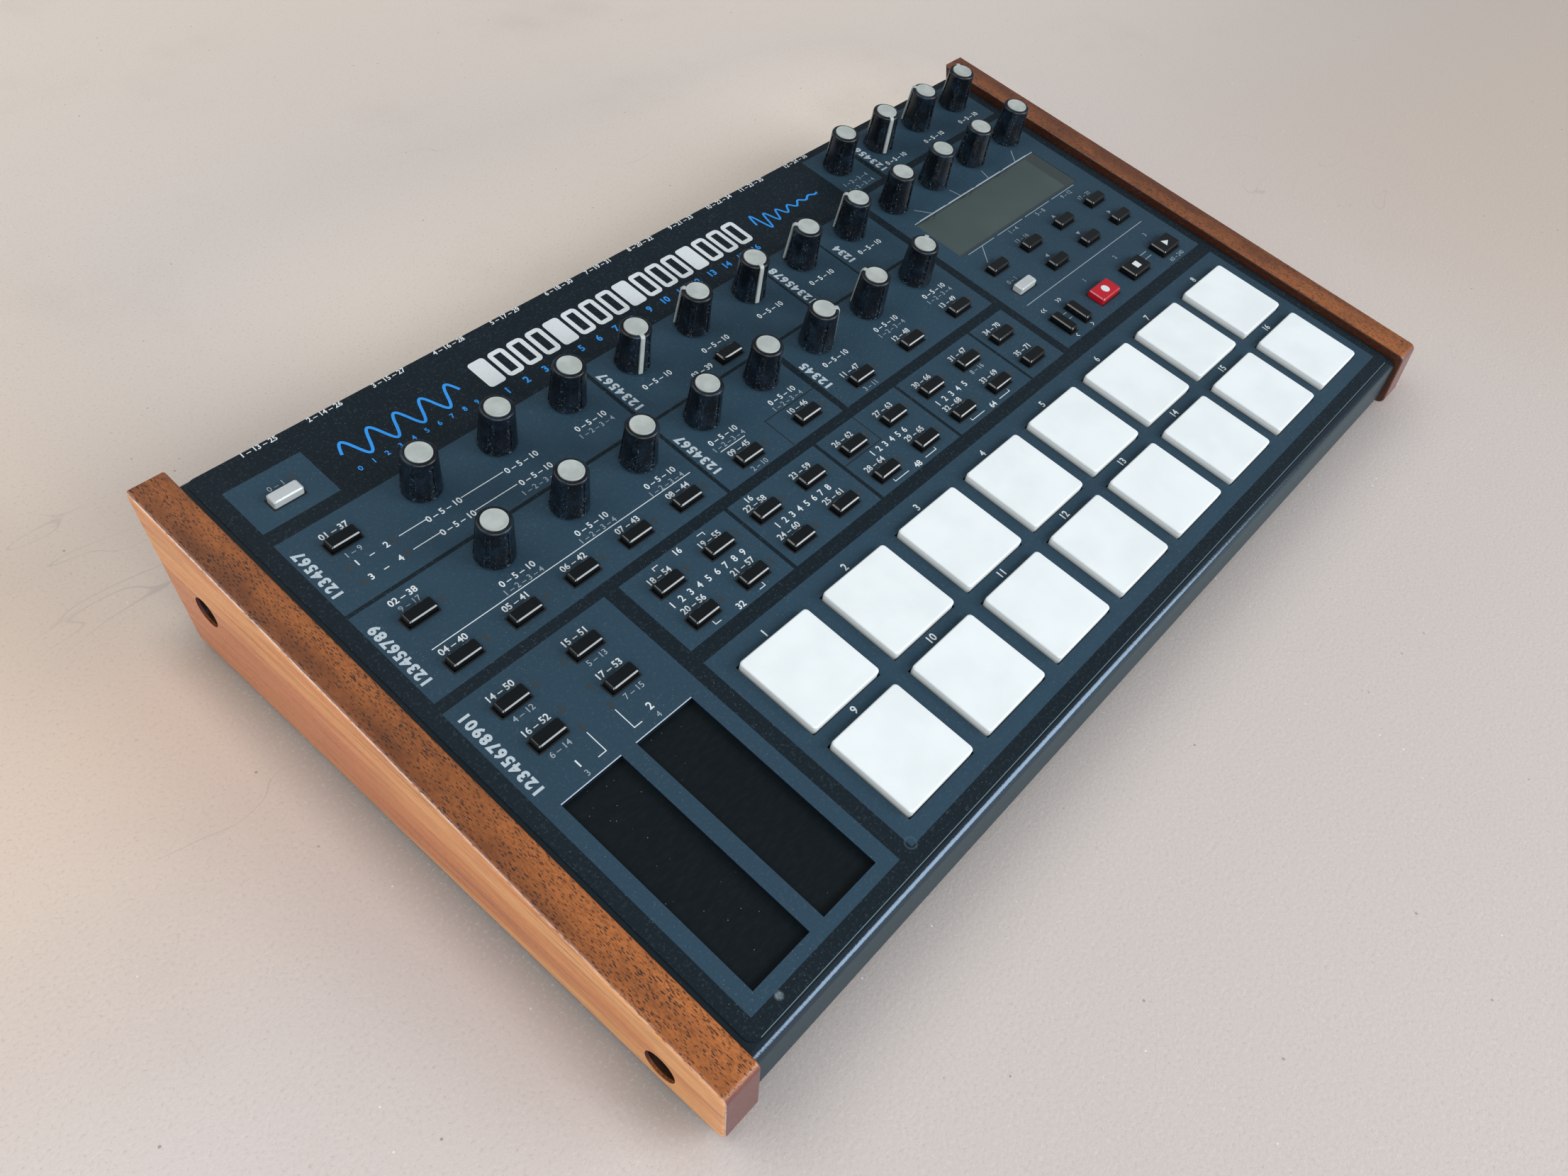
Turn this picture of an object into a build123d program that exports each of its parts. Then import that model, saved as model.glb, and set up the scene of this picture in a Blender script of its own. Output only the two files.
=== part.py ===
"""Desktop drum machine: a folded steel case between wooden cheeks, pads, knobs and keys on a tilted panel.

Millimetres, +Z up, +X to the player's right, the player on the -Y side, origin under the middle of the case.
PANEL holds everything on the top: x across, y up the slope from the front bend, z out of the film.
WALL holds the sockets: x across, y up the leaning rear wall from its foot, z into the case.
"""

import os
from math import cos, radians, sin, tan

from build123d import *

os.makedirs("parts", exist_ok=True)

# Case
WIDTH = 391.0
CHEEK = 12.0  # thickness of the wood
TILT = 7.5  # the panel falls towards the player
PANEL_DEPTH = 223.7  # along the slope, from the front bend to the rear one
FRONT_Y = -110.1
FRONT_Z = 21.9  # height of the film at the front bend
FILM = 0.4
COVER_SHEET = 1.6
PAN_SHEET = 1.2
PAN_Z = 5.0  # underside of the metal case
BEND = 3.0
REAR_LIP = 8.0
SIDE_GAP = 0.8  # shadow line between cover and cheek
FILM_MARGIN = 1.3
FILM_CORNER = 3.0
PAST = 0.5  # how far a cut runs past what it cuts

# Cheek outline, from the side: how far it stands past the panel
CHEEK_Z = 2.0
PAST_FRONT = (2.65, 1.7)  # at the foot and at the top
PAST_REAR = 1.06
PAST_FILM = (2.3, 3.1)  # above it, at the front and at the rear
REAR_LEAN = 12.4  # the rear wall and the cheeks' rear edges lean back by this
CHEEK_CORNER = 2.5
CHEEK_EASE = 1.2
CHEEK_INNER_EASE = 0.8
COUNTERBORE_R = 5.0
COUNTERBORE_DEPTH = 7.0
SCREW_INSET = (18.5, 25.1)  # behind the front bend, before the rear one
SCREW_Z = (10.0, 25.7)
SCREW_R = 2.0
SCREW_LENGTH = 10.0
SCREW_HEAD_R = 3.8
SCREW_HEAD = 2.2
SCREW_BEVEL = 0.8
SCREW_FIT = 0.05
SCREW_CLEARANCE = 0.2  # round it in the wood
HEX_R = 1.4
HEX_DEPTH = 1.4
TAB_WIDTH = 16.0
TAB_DROP = 3.5  # below the screws
TAB_LAP = 0.2  # into the cover
CLINCH_NUT = 3.0
CLINCH_R = 4.0
FOOT_R = 7.0
FOOT_TAPER = 8.0
FOOT_INSET = (18.5, 23.5, 15.0)  # from the cheeks, the pan's front and the foot of its rear wall

# Pads, two rows of eight
PAD_LAND = 4.7  # cover left between two holes, the closer way
PAD_GAP = 0.3
PAD_CORNER = 1.5
PAD_BEVEL = 0.6
PAD_PROUD = 2.5
PAD_TRAVEL = 1.0
PAD_FOOT = 1.8

# Keys
KEY_SIZE = (9.8, 4.2)
SKIP_SIZE = (4.2, 9.8)
TRANSPORT_SIZE = (12.2, 7.2)
KEY_GAP = 0.3
KEY_BEVEL = 0.4
KEY_PROUD = 2.5
KEY_TRAVEL = 0.7
KEY_FOOT = 1.2
MOVE_GAP = 0.3  # left above a pad's or key's foot at rest, and under it at the end of its travel
FOOT_REACH = 1.1  # how far a foot reaches under the cover

# Knobs
KNOB_BASE_R = 6.1
KNOB_TOP_R = 5.2
KNOB_TOP = 15.4  # above the film, under the cap
KNOB_LIFT = 0.6
KNOB_RIM = 0.6
CAP_R = 3.9
CAP_THICK = 0.35
GROOVES = 6
GROOVE_WIDTH = 1.5
GROOVE_DEPTH = 0.45
GROOVE_STOP = 0.5  # below the rim
SHAFT_R = 3.0
SHAFT_HOLE_R = 3.7
POINTER_WIDTH = 1.5
POINTER_PROUD = 0.35
POINTER_BEVEL = 0.1

# Boards, below the film
BOARD_TOP = 9.4
BOARD = 1.6
POT_TOP = 3.0
POT_BODY = 11.0
STUD_R = 2.2
BOARD_GAP = 8.5  # between the control board's ends and the cheeks
BOARD_FRONT = 6.0
BOARD_REAR = (17.7, 33.7, 9.2)  # short of the rear bend, by the left key, over the jacks, by the top knobs
BOARD_STEPS = (33.5, 103.5)  # where its rear edge steps, from the left cheek and from the right one
SWITCH_BODY = 6.0
SENSOR_INSET = 2.0
MODULE_MARGIN = (3.0, -2.0)  # the display module past its window

# Columns on the panel: middles of the first and the last, from the left cheek or from the right one
PAD_COLUMNS = (88.5, 27.9)  # first from the left, last from the right
KNOB_COLUMNS = (50.3, 120.35)  # the same
BANK_COLUMNS = (79.9, 119.1)  # the same
EDIT_COLUMNS = (22.2, 106.6)  # both from the left
STEP_COLUMNS = (232.7, 120.3)  # both from the right, as all that follow
SCREEN_KNOB_COLUMNS = (93.5, 17.15)
SCREEN_KEY_COLUMNS = (89.3, 20.21)
SKIP_COLUMNS = (94.5, 84.3)
TRANSPORT_COLUMNS = (66.4, 43.1, 20.5)
LONE_KEY_COLUMN = 204.7
DISPLAY_COLUMN = 55.2
SHIFT_COLUMN = 20.1  # from the left, as those that follow
STRIP_COLUMNS = (21.9, 47.8)
SIDE_BANK_COLUMNS = (22.2, 48.0)

# Rows: middles, down the slope from the rear bend
SHIFT_ROW = 23.8
TOP_ROW = 16.2
REAR_ROW = 44.8
FRONT_ROW = 76.4
SIDE_KEY_ROWS = (46.3, 79.1)
LONE_KEY_ROW = 62.0
DISPLAY_ROW = 68.9
EDIT_ROW = 97.2
SCREEN_KEY_ROWS = (92.6, 105.3)
BANK_ROWS = (129.9, 116.0)
TRANSPORT_ROW = 127.0

# Pads and touch strips fill what is left between the front bend and the lower bank row
PAD_FRONT = 27.5  # middle of the first row, behind the front bend
PAD_REAR = 32.6  # middle of the second row, in front of the bank row
STRIP_FRONT = 11.65
STRIP_REAR = 16.65
STRIP_WIDTH = 20.6
STRIP_EDGE = 1.4
STRIP_THICK = 1.0
DISPLAY = (80.6, 22.8)
DISPLAY_GAP = 0.1
DISPLAY_SUNK = 0.1

# Studs under the cover: from a cheek, then from the rear bend
SIDE_STUD = 12.5
LEFT_STUD_ROWS = (139.7, 37.7)
RIGHT_STUD_ROWS = (141.7, 28.7)
MIDDLE_STUD = 106.5  # from the right
FRONT_STUDS = (70.0, 113.5)  # from the left and from the right
FRONT_STUD_ROW = 9.2  # behind the front bend

# Sockets: from the left cheek, and heights up the rear wall
STACKED_JACKS = [47.5, 70.5, 93.5, 116.5]
SINGLE_JACKS = [25.4, 139.8, 157.6]
JACK_LOW = 12.0
JACK_DROP = 17.8  # from the wall's top down to the upper jacks
JACK_BODY = (15.0, 6.5)  # width, half height
JACK_BORE_R = 3.25
JACK_THREAD_R = 4.5
JACK_NUT_R = 6.2
JACK_NUT = 2.0
JACK_THREAD_PROUD = 1.0  # past the nut
JACK_BORE_DEPTH = 18.0
SOCKET_FIT = 0.1
SOCKET_REACH = 20.0
SOCKET_HOLE = 8.0
DATA_SOCKETS = [178.0, 198.4]
DATA_R = 7.6
DATA_RING = (6.9, 5.7)
DATA_H = 15.0
DATA_GAP = 1.4  # between the two housings
USB_AT = (218.7, 11.0)
USB_SIZE = (12.4, 11.2)
USB_HOLE = (8.6, 7.9)
USB_TONGUE = (5.6, 3.2)
POWER_AT = (236.4, 11.0)
POWER_SIZE = (9.4, 11.0)
POWER_HOLE_R = 3.2
POWER_PIN_R = 1.0
SWITCH_AT = (262.1, 19.0)
SWITCH_SIZE = (19.2, 13.0)
SWITCH_REACH = 12.0
SWITCH_BEZEL = 1.2
SWITCH_PROUD = 1.5
POCKET = (17.6, 10.6, 8.0)
PIN_R = 1.2
PIN_FIT = 0.05
PIN_REACH = (0.5, 0.8)  # of the pins past the pocket's sides, and of their seats
ROCKER_GAP = (0.5, 0.35)  # at its ends and at its sides
ROCKER_FACE = (1.4, 1.0)  # above its pins, at the ends and in the middle
ROCKER_SKIRT = (1.2, 2.2)  # how far its ends lean in and reach down
ROCKER_BELLY = (2.5, 3.0)
ROCKER_TURN = 20.0
JACK_BOARD_MARGIN = 10.0
MAIN_BOARD_SIDES = (23.5, 43.5)  # free beside it, left and right
MAIN_BOARD_DEPTH = 80.0
MAIN_BOARD_BEHIND = 35.0  # free behind it, up to the foot of the rear wall
MAIN_BOARD_Z = 9.2
STANDOFF_INSET = 5.0

slope = radians(TILT)
lean = radians(REAR_LEAN)
inner = WIDTH / 2 - CHEEK  # inside face of a cheek
cover_half = inner - SIDE_GAP
under = FILM + COVER_SHEET  # underside of the cover, below the film
rear_y = FRONT_Y + PANEL_DEPTH * cos(slope)


def panel_z(y, depth=0.0):
    """Height at y of the plane that lies depth below the film."""
    return FRONT_Z + (y - FRONT_Y) * tan(slope) - depth / cos(slope)


rear_z = panel_z(rear_y, FILM)
wall_foot = rear_y - COVER_SHEET / cos(lean) - (rear_z - PAN_Z) * tan(lean)
jack_high = (rear_z - PAN_Z) / cos(lean) - JACK_DROP
PANEL = Plane(origin=(0, FRONT_Y, FRONT_Z), x_dir=(1, 0, 0), z_dir=(0, -sin(slope), cos(slope)))
WALL = Plane(origin=(0, wall_foot, PAN_Z), x_dir=(1, 0, 0), z_dir=(0, -cos(lean), sin(lean)))
UPWARD = Axis(PANEL.origin, PANEL.z_dir)



def spread(first, last, count):
    """Evenly spaced columns, the first so far from the left cheek and the last so far from the right one."""
    step = (2 * inner - first - last) / (count - 1)
    return [first - inner + step * i for i in range(count)]


def from_left(*distances):
    """Columns so far from the left cheek."""
    return [distance - inner for distance in distances]


def from_right(*distances):
    """Columns so far from the right cheek."""
    return [inner - distance for distance in distances]


def from_rear(*distances):
    """Rows so far down the slope from the rear bend."""
    return [PANEL_DEPTH - distance for distance in distances]


def grid(columns, rows):
    """Every crossing of the columns and the rows, column by column."""
    return [(x, y) for x in columns for y in rows]


# Where everything sits on the panel
top_row, rear_row, front_row = from_rear(TOP_ROW, REAR_ROW, FRONT_ROW)
bank_rows = from_rear(*BANK_ROWS)
pad_columns = spread(*PAD_COLUMNS, 8)
pad_rows = (bank_rows[0] - PAD_REAR, PAD_FRONT)
pad_at = [(x, y) for y in pad_rows for x in pad_columns]
pad_hole = min(pad_columns[1] - pad_columns[0], pad_rows[0] - pad_rows[1]) - PAD_LAND
knob_columns = spread(*KNOB_COLUMNS, 8)
screen_knob_columns = spread(2 * inner - SCREEN_KNOB_COLUMNS[0], SCREEN_KNOB_COLUMNS[1], 4)
encoder_at = grid(knob_columns[:3], [rear_row]) + grid(knob_columns[:5], [front_row])
encoder_at += grid(screen_knob_columns[:1], [top_row]) + grid(screen_knob_columns, [rear_row])
pot_at = grid(knob_columns[3:], [rear_row]) + grid(knob_columns[5:], [front_row])
pot_at += grid(screen_knob_columns[1:], [top_row])
pot_rest = [252, 126, 252, 129, 118, -32, 103, 30, 244, 115, 60]  # pointer's angle from +x

edit_columns = spread(EDIT_COLUMNS[0], 2 * inner - EDIT_COLUMNS[1], 5)
edit_columns += spread(2 * inner - STEP_COLUMNS[0], STEP_COLUMNS[1], 5)
edit_keys = grid(from_left(SIDE_BANK_COLUMNS[0]), from_rear(*SIDE_KEY_ROWS))
edit_keys += grid(from_right(LONE_KEY_COLUMN), from_rear(LONE_KEY_ROW))
edit_keys += grid(edit_columns, from_rear(EDIT_ROW))
bank_keys = grid(from_left(*SIDE_BANK_COLUMNS) + spread(*BANK_COLUMNS, 9), bank_rows)
screen_key_columns = spread(2 * inner - SCREEN_KEY_COLUMNS[0], SCREEN_KEY_COLUMNS[1], 4)
screen_key_rows = from_rear(*SCREEN_KEY_ROWS)
screen_keys = grid(screen_key_columns, screen_key_rows[:1])
screen_keys += grid(screen_key_columns[1:], screen_key_rows[1:])
shift_keys = grid(from_left(SHIFT_COLUMN), from_rear(SHIFT_ROW))
shift_keys += grid(screen_key_columns[:1], screen_key_rows[1:])
skip_keys = grid(from_right(*SKIP_COLUMNS), from_rear(TRANSPORT_ROW))
transport_keys = grid(from_right(*TRANSPORT_COLUMNS), from_rear(TRANSPORT_ROW))
key_sets = {
    "edit_keys": [(edit_keys, KEY_SIZE)],
    "bank_keys": [(bank_keys, KEY_SIZE)],
    "shift_keys": [(shift_keys, KEY_SIZE)],
    "screen_keys": [(screen_keys, KEY_SIZE), (skip_keys, SKIP_SIZE)],
    "record_key": [(transport_keys[:1], TRANSPORT_SIZE)],
    "stop_key": [(transport_keys[1:2], TRANSPORT_SIZE)],
    "play_key": [(transport_keys[2:], TRANSPORT_SIZE)],
}

strip_rear = bank_rows[0] - STRIP_REAR
strip = (STRIP_WIDTH, strip_rear - STRIP_FRONT)
strip_at = grid(from_left(*STRIP_COLUMNS), [(STRIP_FRONT + strip_rear) / 2])
display_at = grid(from_right(DISPLAY_COLUMN), from_rear(DISPLAY_ROW))
stud_at = grid(from_left(SIDE_STUD) + from_right(MIDDLE_STUD), from_rear(*LEFT_STUD_ROWS))
stud_at += grid(from_right(SIDE_STUD), from_rear(*RIGHT_STUD_ROWS))
stud_at += grid(from_left(FRONT_STUDS[0]) + from_right(FRONT_STUDS[1]), [FRONT_STUD_ROW])
screw_at = [(FRONT_Y + SCREW_INSET[0], SCREW_Z[0]), (rear_y - SCREW_INSET[1], SCREW_Z[1])]  # y, z

# One drawing of the holes serves both the cover and the film
with BuildSketch(PANEL.offset(-under - PAST)) as cut_outs:
    with Locations(*pad_at):
        Rectangle(pad_hole, pad_hole)
    with Locations(*encoder_at, *pot_at):
        Circle(SHAFT_HOLE_R)
    for sets in key_sets.values():
        for places, size in sets:
            with Locations(*places):
                Rectangle(size[0] + 2 * KEY_GAP, size[1] + 2 * KEY_GAP)
    with Locations(*strip_at):
        Rectangle(*strip)
    with Locations(*display_at):
        Rectangle(*DISPLAY)

# Folded cover: front face, panel, rear lip, board studs, and the tabs that the cheek screws pull on
with BuildPart() as top_cover:
    with BuildSketch(Plane.YZ):
        with BuildLine():
            FilletPolyline(
                (FRONT_Y, PAN_Z),
                (FRONT_Y, panel_z(FRONT_Y, FILM)),
                (rear_y, rear_z),
                (rear_y - REAR_LIP * sin(lean), rear_z - REAR_LIP * cos(lean)),
                radius=BEND,
            )
            offset(amount=COVER_SHEET, side=Side.RIGHT)
        make_face()
    extrude(amount=cover_half, both=True)
    extrude(cut_outs.sketch, amount=under + 2 * PAST, mode=Mode.SUBTRACT)
    for side in (-1, 1):
        tab_face = Plane.YZ.offset(side * (inner - PAN_SHEET))
        with BuildSketch(tab_face):
            for y, z in screw_at:
                with BuildLine():
                    Polyline(
                        (y - TAB_WIDTH / 2, z - TAB_DROP),
                        (y + TAB_WIDTH / 2, z - TAB_DROP),
                        (y + TAB_WIDTH / 2, panel_z(y + TAB_WIDTH / 2, under - TAB_LAP)),
                        (y - TAB_WIDTH / 2, panel_z(y - TAB_WIDTH / 2, under - TAB_LAP)),
                        close=True,
                    )
                make_face()
        extrude(amount=-side * COVER_SHEET)
        with BuildSketch(tab_face.offset(-side * COVER_SHEET)):
            with Locations(*screw_at):
                RegularPolygon(CLINCH_R, 6)
        extrude(amount=-side * CLINCH_NUT)
        with BuildSketch(tab_face):
            with Locations(*screw_at):
                Circle(SCREW_R + SCREW_FIT)
        extrude(amount=-side * (COVER_SHEET + CLINCH_NUT), mode=Mode.SUBTRACT)
    with BuildSketch(PANEL.offset(-BOARD_TOP)):
        with Locations(*stud_at):
            Circle(STUD_R)
    extrude(amount=BOARD_TOP - under)
top_cover.part.label = "top_cover"

# Printed film over the panel
with BuildPart() as panel_film:
    with BuildSketch(PANEL.offset(-FILM)):
        with Locations((0, PANEL_DEPTH / 2)):
            RectangleRounded(2 * (cover_half - FILM_MARGIN), PANEL_DEPTH - 2 * BEND, FILM_CORNER)
    extrude(amount=FILM)
    extrude(cut_outs.sketch, amount=under + 2 * PAST, mode=Mode.SUBTRACT)
panel_film.part.label = "panel_film"

# Bottom pan: a tray whose rim meets the underside of the cover
pan_front = FRONT_Y + COVER_SHEET
stacked_x = from_left(*STACKED_JACKS)
single_x = from_left(*SINGLE_JACKS)
data_x = from_left(*DATA_SOCKETS)
usb_at, power_at, switch_at = [(x - inner, up) for x, up in (USB_AT, POWER_AT, SWITCH_AT)]
jack_at = [(x, JACK_LOW) for x in stacked_x + single_x] + [(x, jack_high) for x in stacked_x]
main_board = (2 * inner - sum(MAIN_BOARD_SIDES), MAIN_BOARD_DEPTH)
main_board_x = (MAIN_BOARD_SIDES[0] - MAIN_BOARD_SIDES[1]) / 2
main_board_at = (main_board_x, wall_foot - MAIN_BOARD_BEHIND - MAIN_BOARD_DEPTH / 2)
rim_y = (wall_foot + (panel_z(0, under) - PAN_Z) * tan(lean)) / (1 - tan(slope) * tan(lean))
rim_cut = 1.5 * BEND  # its rear corner is cut off, clear of the cover's bend
with BuildPart() as bottom_pan:
    with BuildSketch(Plane.YZ):
        with BuildLine():
            Polyline(
                (pan_front, PAN_Z),
                (wall_foot, PAN_Z),
                (rim_y - rim_cut * sin(lean), panel_z(rim_y, under) - rim_cut * cos(lean)),
                (rim_y - rim_cut, panel_z(rim_y - rim_cut, under)),
                (pan_front + BEND, panel_z(pan_front + BEND, under)),
                (pan_front, panel_z(pan_front, under) - BEND),
                close=True,
            )
        make_face()
    extrude(amount=inner, both=True)
    offset(amount=-PAN_SHEET, openings=faces().filter_by(UPWARD))
    with BuildSketch(Plane.YZ.offset(-inner)):
        with Locations(*screw_at):
            Circle(SCREW_R + SCREW_FIT)
    extrude(amount=2 * inner, mode=Mode.SUBTRACT)
    with BuildSketch(WALL):
        with Locations(*jack_at):
            Circle(JACK_THREAD_R + SOCKET_FIT)
        with Locations(*[(x, DATA_H) for x in data_x]):
            Circle(DATA_R + SOCKET_FIT)
        with Locations(usb_at):
            Rectangle(USB_SIZE[0] + 2 * SOCKET_FIT, USB_SIZE[1] + 2 * SOCKET_FIT)
        with Locations(power_at):
            Rectangle(POWER_SIZE[0] + 2 * SOCKET_FIT, POWER_SIZE[1] + 2 * SOCKET_FIT)
        with Locations(switch_at):
            Rectangle(SWITCH_SIZE[0] + 2 * SOCKET_FIT, SWITCH_SIZE[1] + 2 * SOCKET_FIT)
    extrude(amount=PAN_SHEET + PAST, mode=Mode.SUBTRACT)
    with BuildSketch(Plane.XY.offset(PAN_Z + PAN_SHEET)):
        with Locations(main_board_at):
            with GridLocations(main_board[0] - 2 * STANDOFF_INSET, main_board[1] - 2 * STANDOFF_INSET, 2, 2):
                RegularPolygon(STUD_R, 6)
    extrude(amount=MAIN_BOARD_Z - PAN_Z - PAN_SHEET)
bottom_pan.part.label = "bottom_pan"

# Cheeks: one board outline, counterbored for its two screws
cheek_top = (rear_y + PAST_REAR, panel_z(rear_y) + PAST_FILM[1])
rear_foot = cheek_top[0] - (cheek_top[1] - CHEEK_Z) * tan(lean)
with BuildPart() as right_cheek:
    with BuildSketch(Plane.YZ.offset(inner)) as outline:
        with BuildLine():
            Polyline(
                (FRONT_Y - PAST_FRONT[0], CHEEK_Z),
                (rear_foot, CHEEK_Z),
                cheek_top,
                (FRONT_Y - PAST_FRONT[1], FRONT_Z + PAST_FILM[0]),
                close=True,
            )
        make_face()
        fillet(outline.vertices().sort_by(Axis.Z)[2:], CHEEK_CORNER)
    extrude(amount=CHEEK)
    fillet(faces().sort_by(Axis.X)[-1].edges(), CHEEK_EASE)
    fillet(faces().sort_by(Axis.X)[0].edges(), CHEEK_INNER_EASE)
    with BuildSketch(Plane.YZ.offset(inner + CHEEK)):
        with Locations(*screw_at):
            Circle(COUNTERBORE_R)
    extrude(amount=-COUNTERBORE_DEPTH, mode=Mode.SUBTRACT)
    with BuildSketch(Plane.YZ.offset(inner)):
        with Locations(*screw_at):
            Circle(SCREW_R + SCREW_CLEARANCE)
    extrude(amount=CHEEK, mode=Mode.SUBTRACT)
right_cheek.part.label = "right_cheek"

with BuildPart() as left_cheek:
    mirror(right_cheek.part, about=Plane.YZ)
left_cheek.part.label = "left_cheek"

# Button-head screws through the cheeks into the cover's clinch nuts
seat = Plane.YZ.offset(inner + CHEEK - COUNTERBORE_DEPTH)
with BuildPart() as screws:
    with BuildSketch(seat):
        with Locations(*screw_at):
            Circle(SCREW_HEAD_R)
    extrude(amount=SCREW_HEAD)
    chamfer(faces().group_by(Axis.X)[-1].edges(), SCREW_BEVEL)
    with BuildSketch(seat):
        with Locations(*screw_at):
            Circle(SCREW_R)
    extrude(amount=-SCREW_LENGTH)
    with BuildSketch(seat.offset(SCREW_HEAD)):
        with Locations(*screw_at):
            RegularPolygon(HEX_R, 6)
    extrude(amount=-HEX_DEPTH, mode=Mode.SUBTRACT)
    mirror(about=Plane.YZ)
screws.part.label = "screws"

# Feet stuck under the pan's corners
foot_x = inner - FOOT_INSET[0]
foot_y = (pan_front + FOOT_INSET[1], wall_foot - FOOT_INSET[2])
with BuildPart() as rubber_feet:
    with BuildSketch(Plane.XY.offset(PAN_Z)):
        with Locations(*[(x, y) for x in (-foot_x, foot_x) for y in foot_y]):
            Circle(FOOT_R)
    extrude(amount=-PAN_Z, taper=FOOT_TAPER)
rubber_feet.part.label = "rubber_feet"

# Display window, let into the panel
with BuildPart() as display_window:
    with BuildSketch(PANEL.offset(-under)):
        with Locations(*display_at):
            Rectangle(DISPLAY[0] - 2 * DISPLAY_GAP, DISPLAY[1] - 2 * DISPLAY_GAP)
    extrude(amount=under - DISPLAY_SUNK)
display_window.part.label = "display_window"

# Touch strips, glued to the underside of the cover behind their slots
with BuildPart() as touch_strips:
    with BuildSketch(PANEL.offset(-under)):
        with Locations(*strip_at):
            Rectangle(strip[0] + 2 * STRIP_EDGE, strip[1] + 2 * STRIP_EDGE)
    extrude(amount=-STRIP_THICK)
touch_strips.part.label = "touch_strips"

# Control board with its pots, switches, pad sensors and display module
foot_top = under + MOVE_GAP
pad_sensor = foot_top + PAD_FOOT + PAD_TRAVEL + MOVE_GAP
key_switch = foot_top + KEY_FOOT + KEY_TRAVEL + MOVE_GAP
key_at = [place for sets in key_sets.values() for places, size in sets for place in places]
board_half = inner - BOARD_GAP
step_left = BOARD_STEPS[0] - inner
step_right = inner - BOARD_STEPS[1]
rear_left, rear_middle, rear_right = from_rear(*BOARD_REAR)
with BuildPart() as control_board:
    with BuildSketch(PANEL.offset(-BOARD_TOP)):
        with BuildLine():
            Polyline(
                (-board_half, BOARD_FRONT),
                (board_half, BOARD_FRONT),
                (board_half, rear_right),
                (step_right, rear_right),
                (step_right, rear_middle),
                (step_left, rear_middle),
                (step_left, rear_left),
                (-board_half, rear_left),
                close=True,
            )
        make_face()
    extrude(amount=-BOARD)
    with BuildSketch(PANEL.offset(-BOARD_TOP)):
        with Locations(*encoder_at, *pot_at):
            Rectangle(POT_BODY, POT_BODY)
    extrude(amount=BOARD_TOP - POT_TOP)
    with BuildSketch(PANEL.offset(-BOARD_TOP)):
        with Locations(*key_at):
            Rectangle(SWITCH_BODY, SWITCH_BODY)
    extrude(amount=BOARD_TOP - key_switch)
    with BuildSketch(PANEL.offset(-BOARD_TOP)):
        with Locations(*pad_at):
            Rectangle(pad_hole - 2 * SENSOR_INSET, pad_hole - 2 * SENSOR_INSET)
    extrude(amount=BOARD_TOP - pad_sensor)
    with BuildSketch(PANEL.offset(-BOARD_TOP)):
        with Locations(*display_at):
            Rectangle(DISPLAY[0] + 2 * MODULE_MARGIN[0], DISPLAY[1] + 2 * MODULE_MARGIN[1])
    extrude(amount=BOARD_TOP - under)
control_board.part.label = "control_board"

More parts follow.
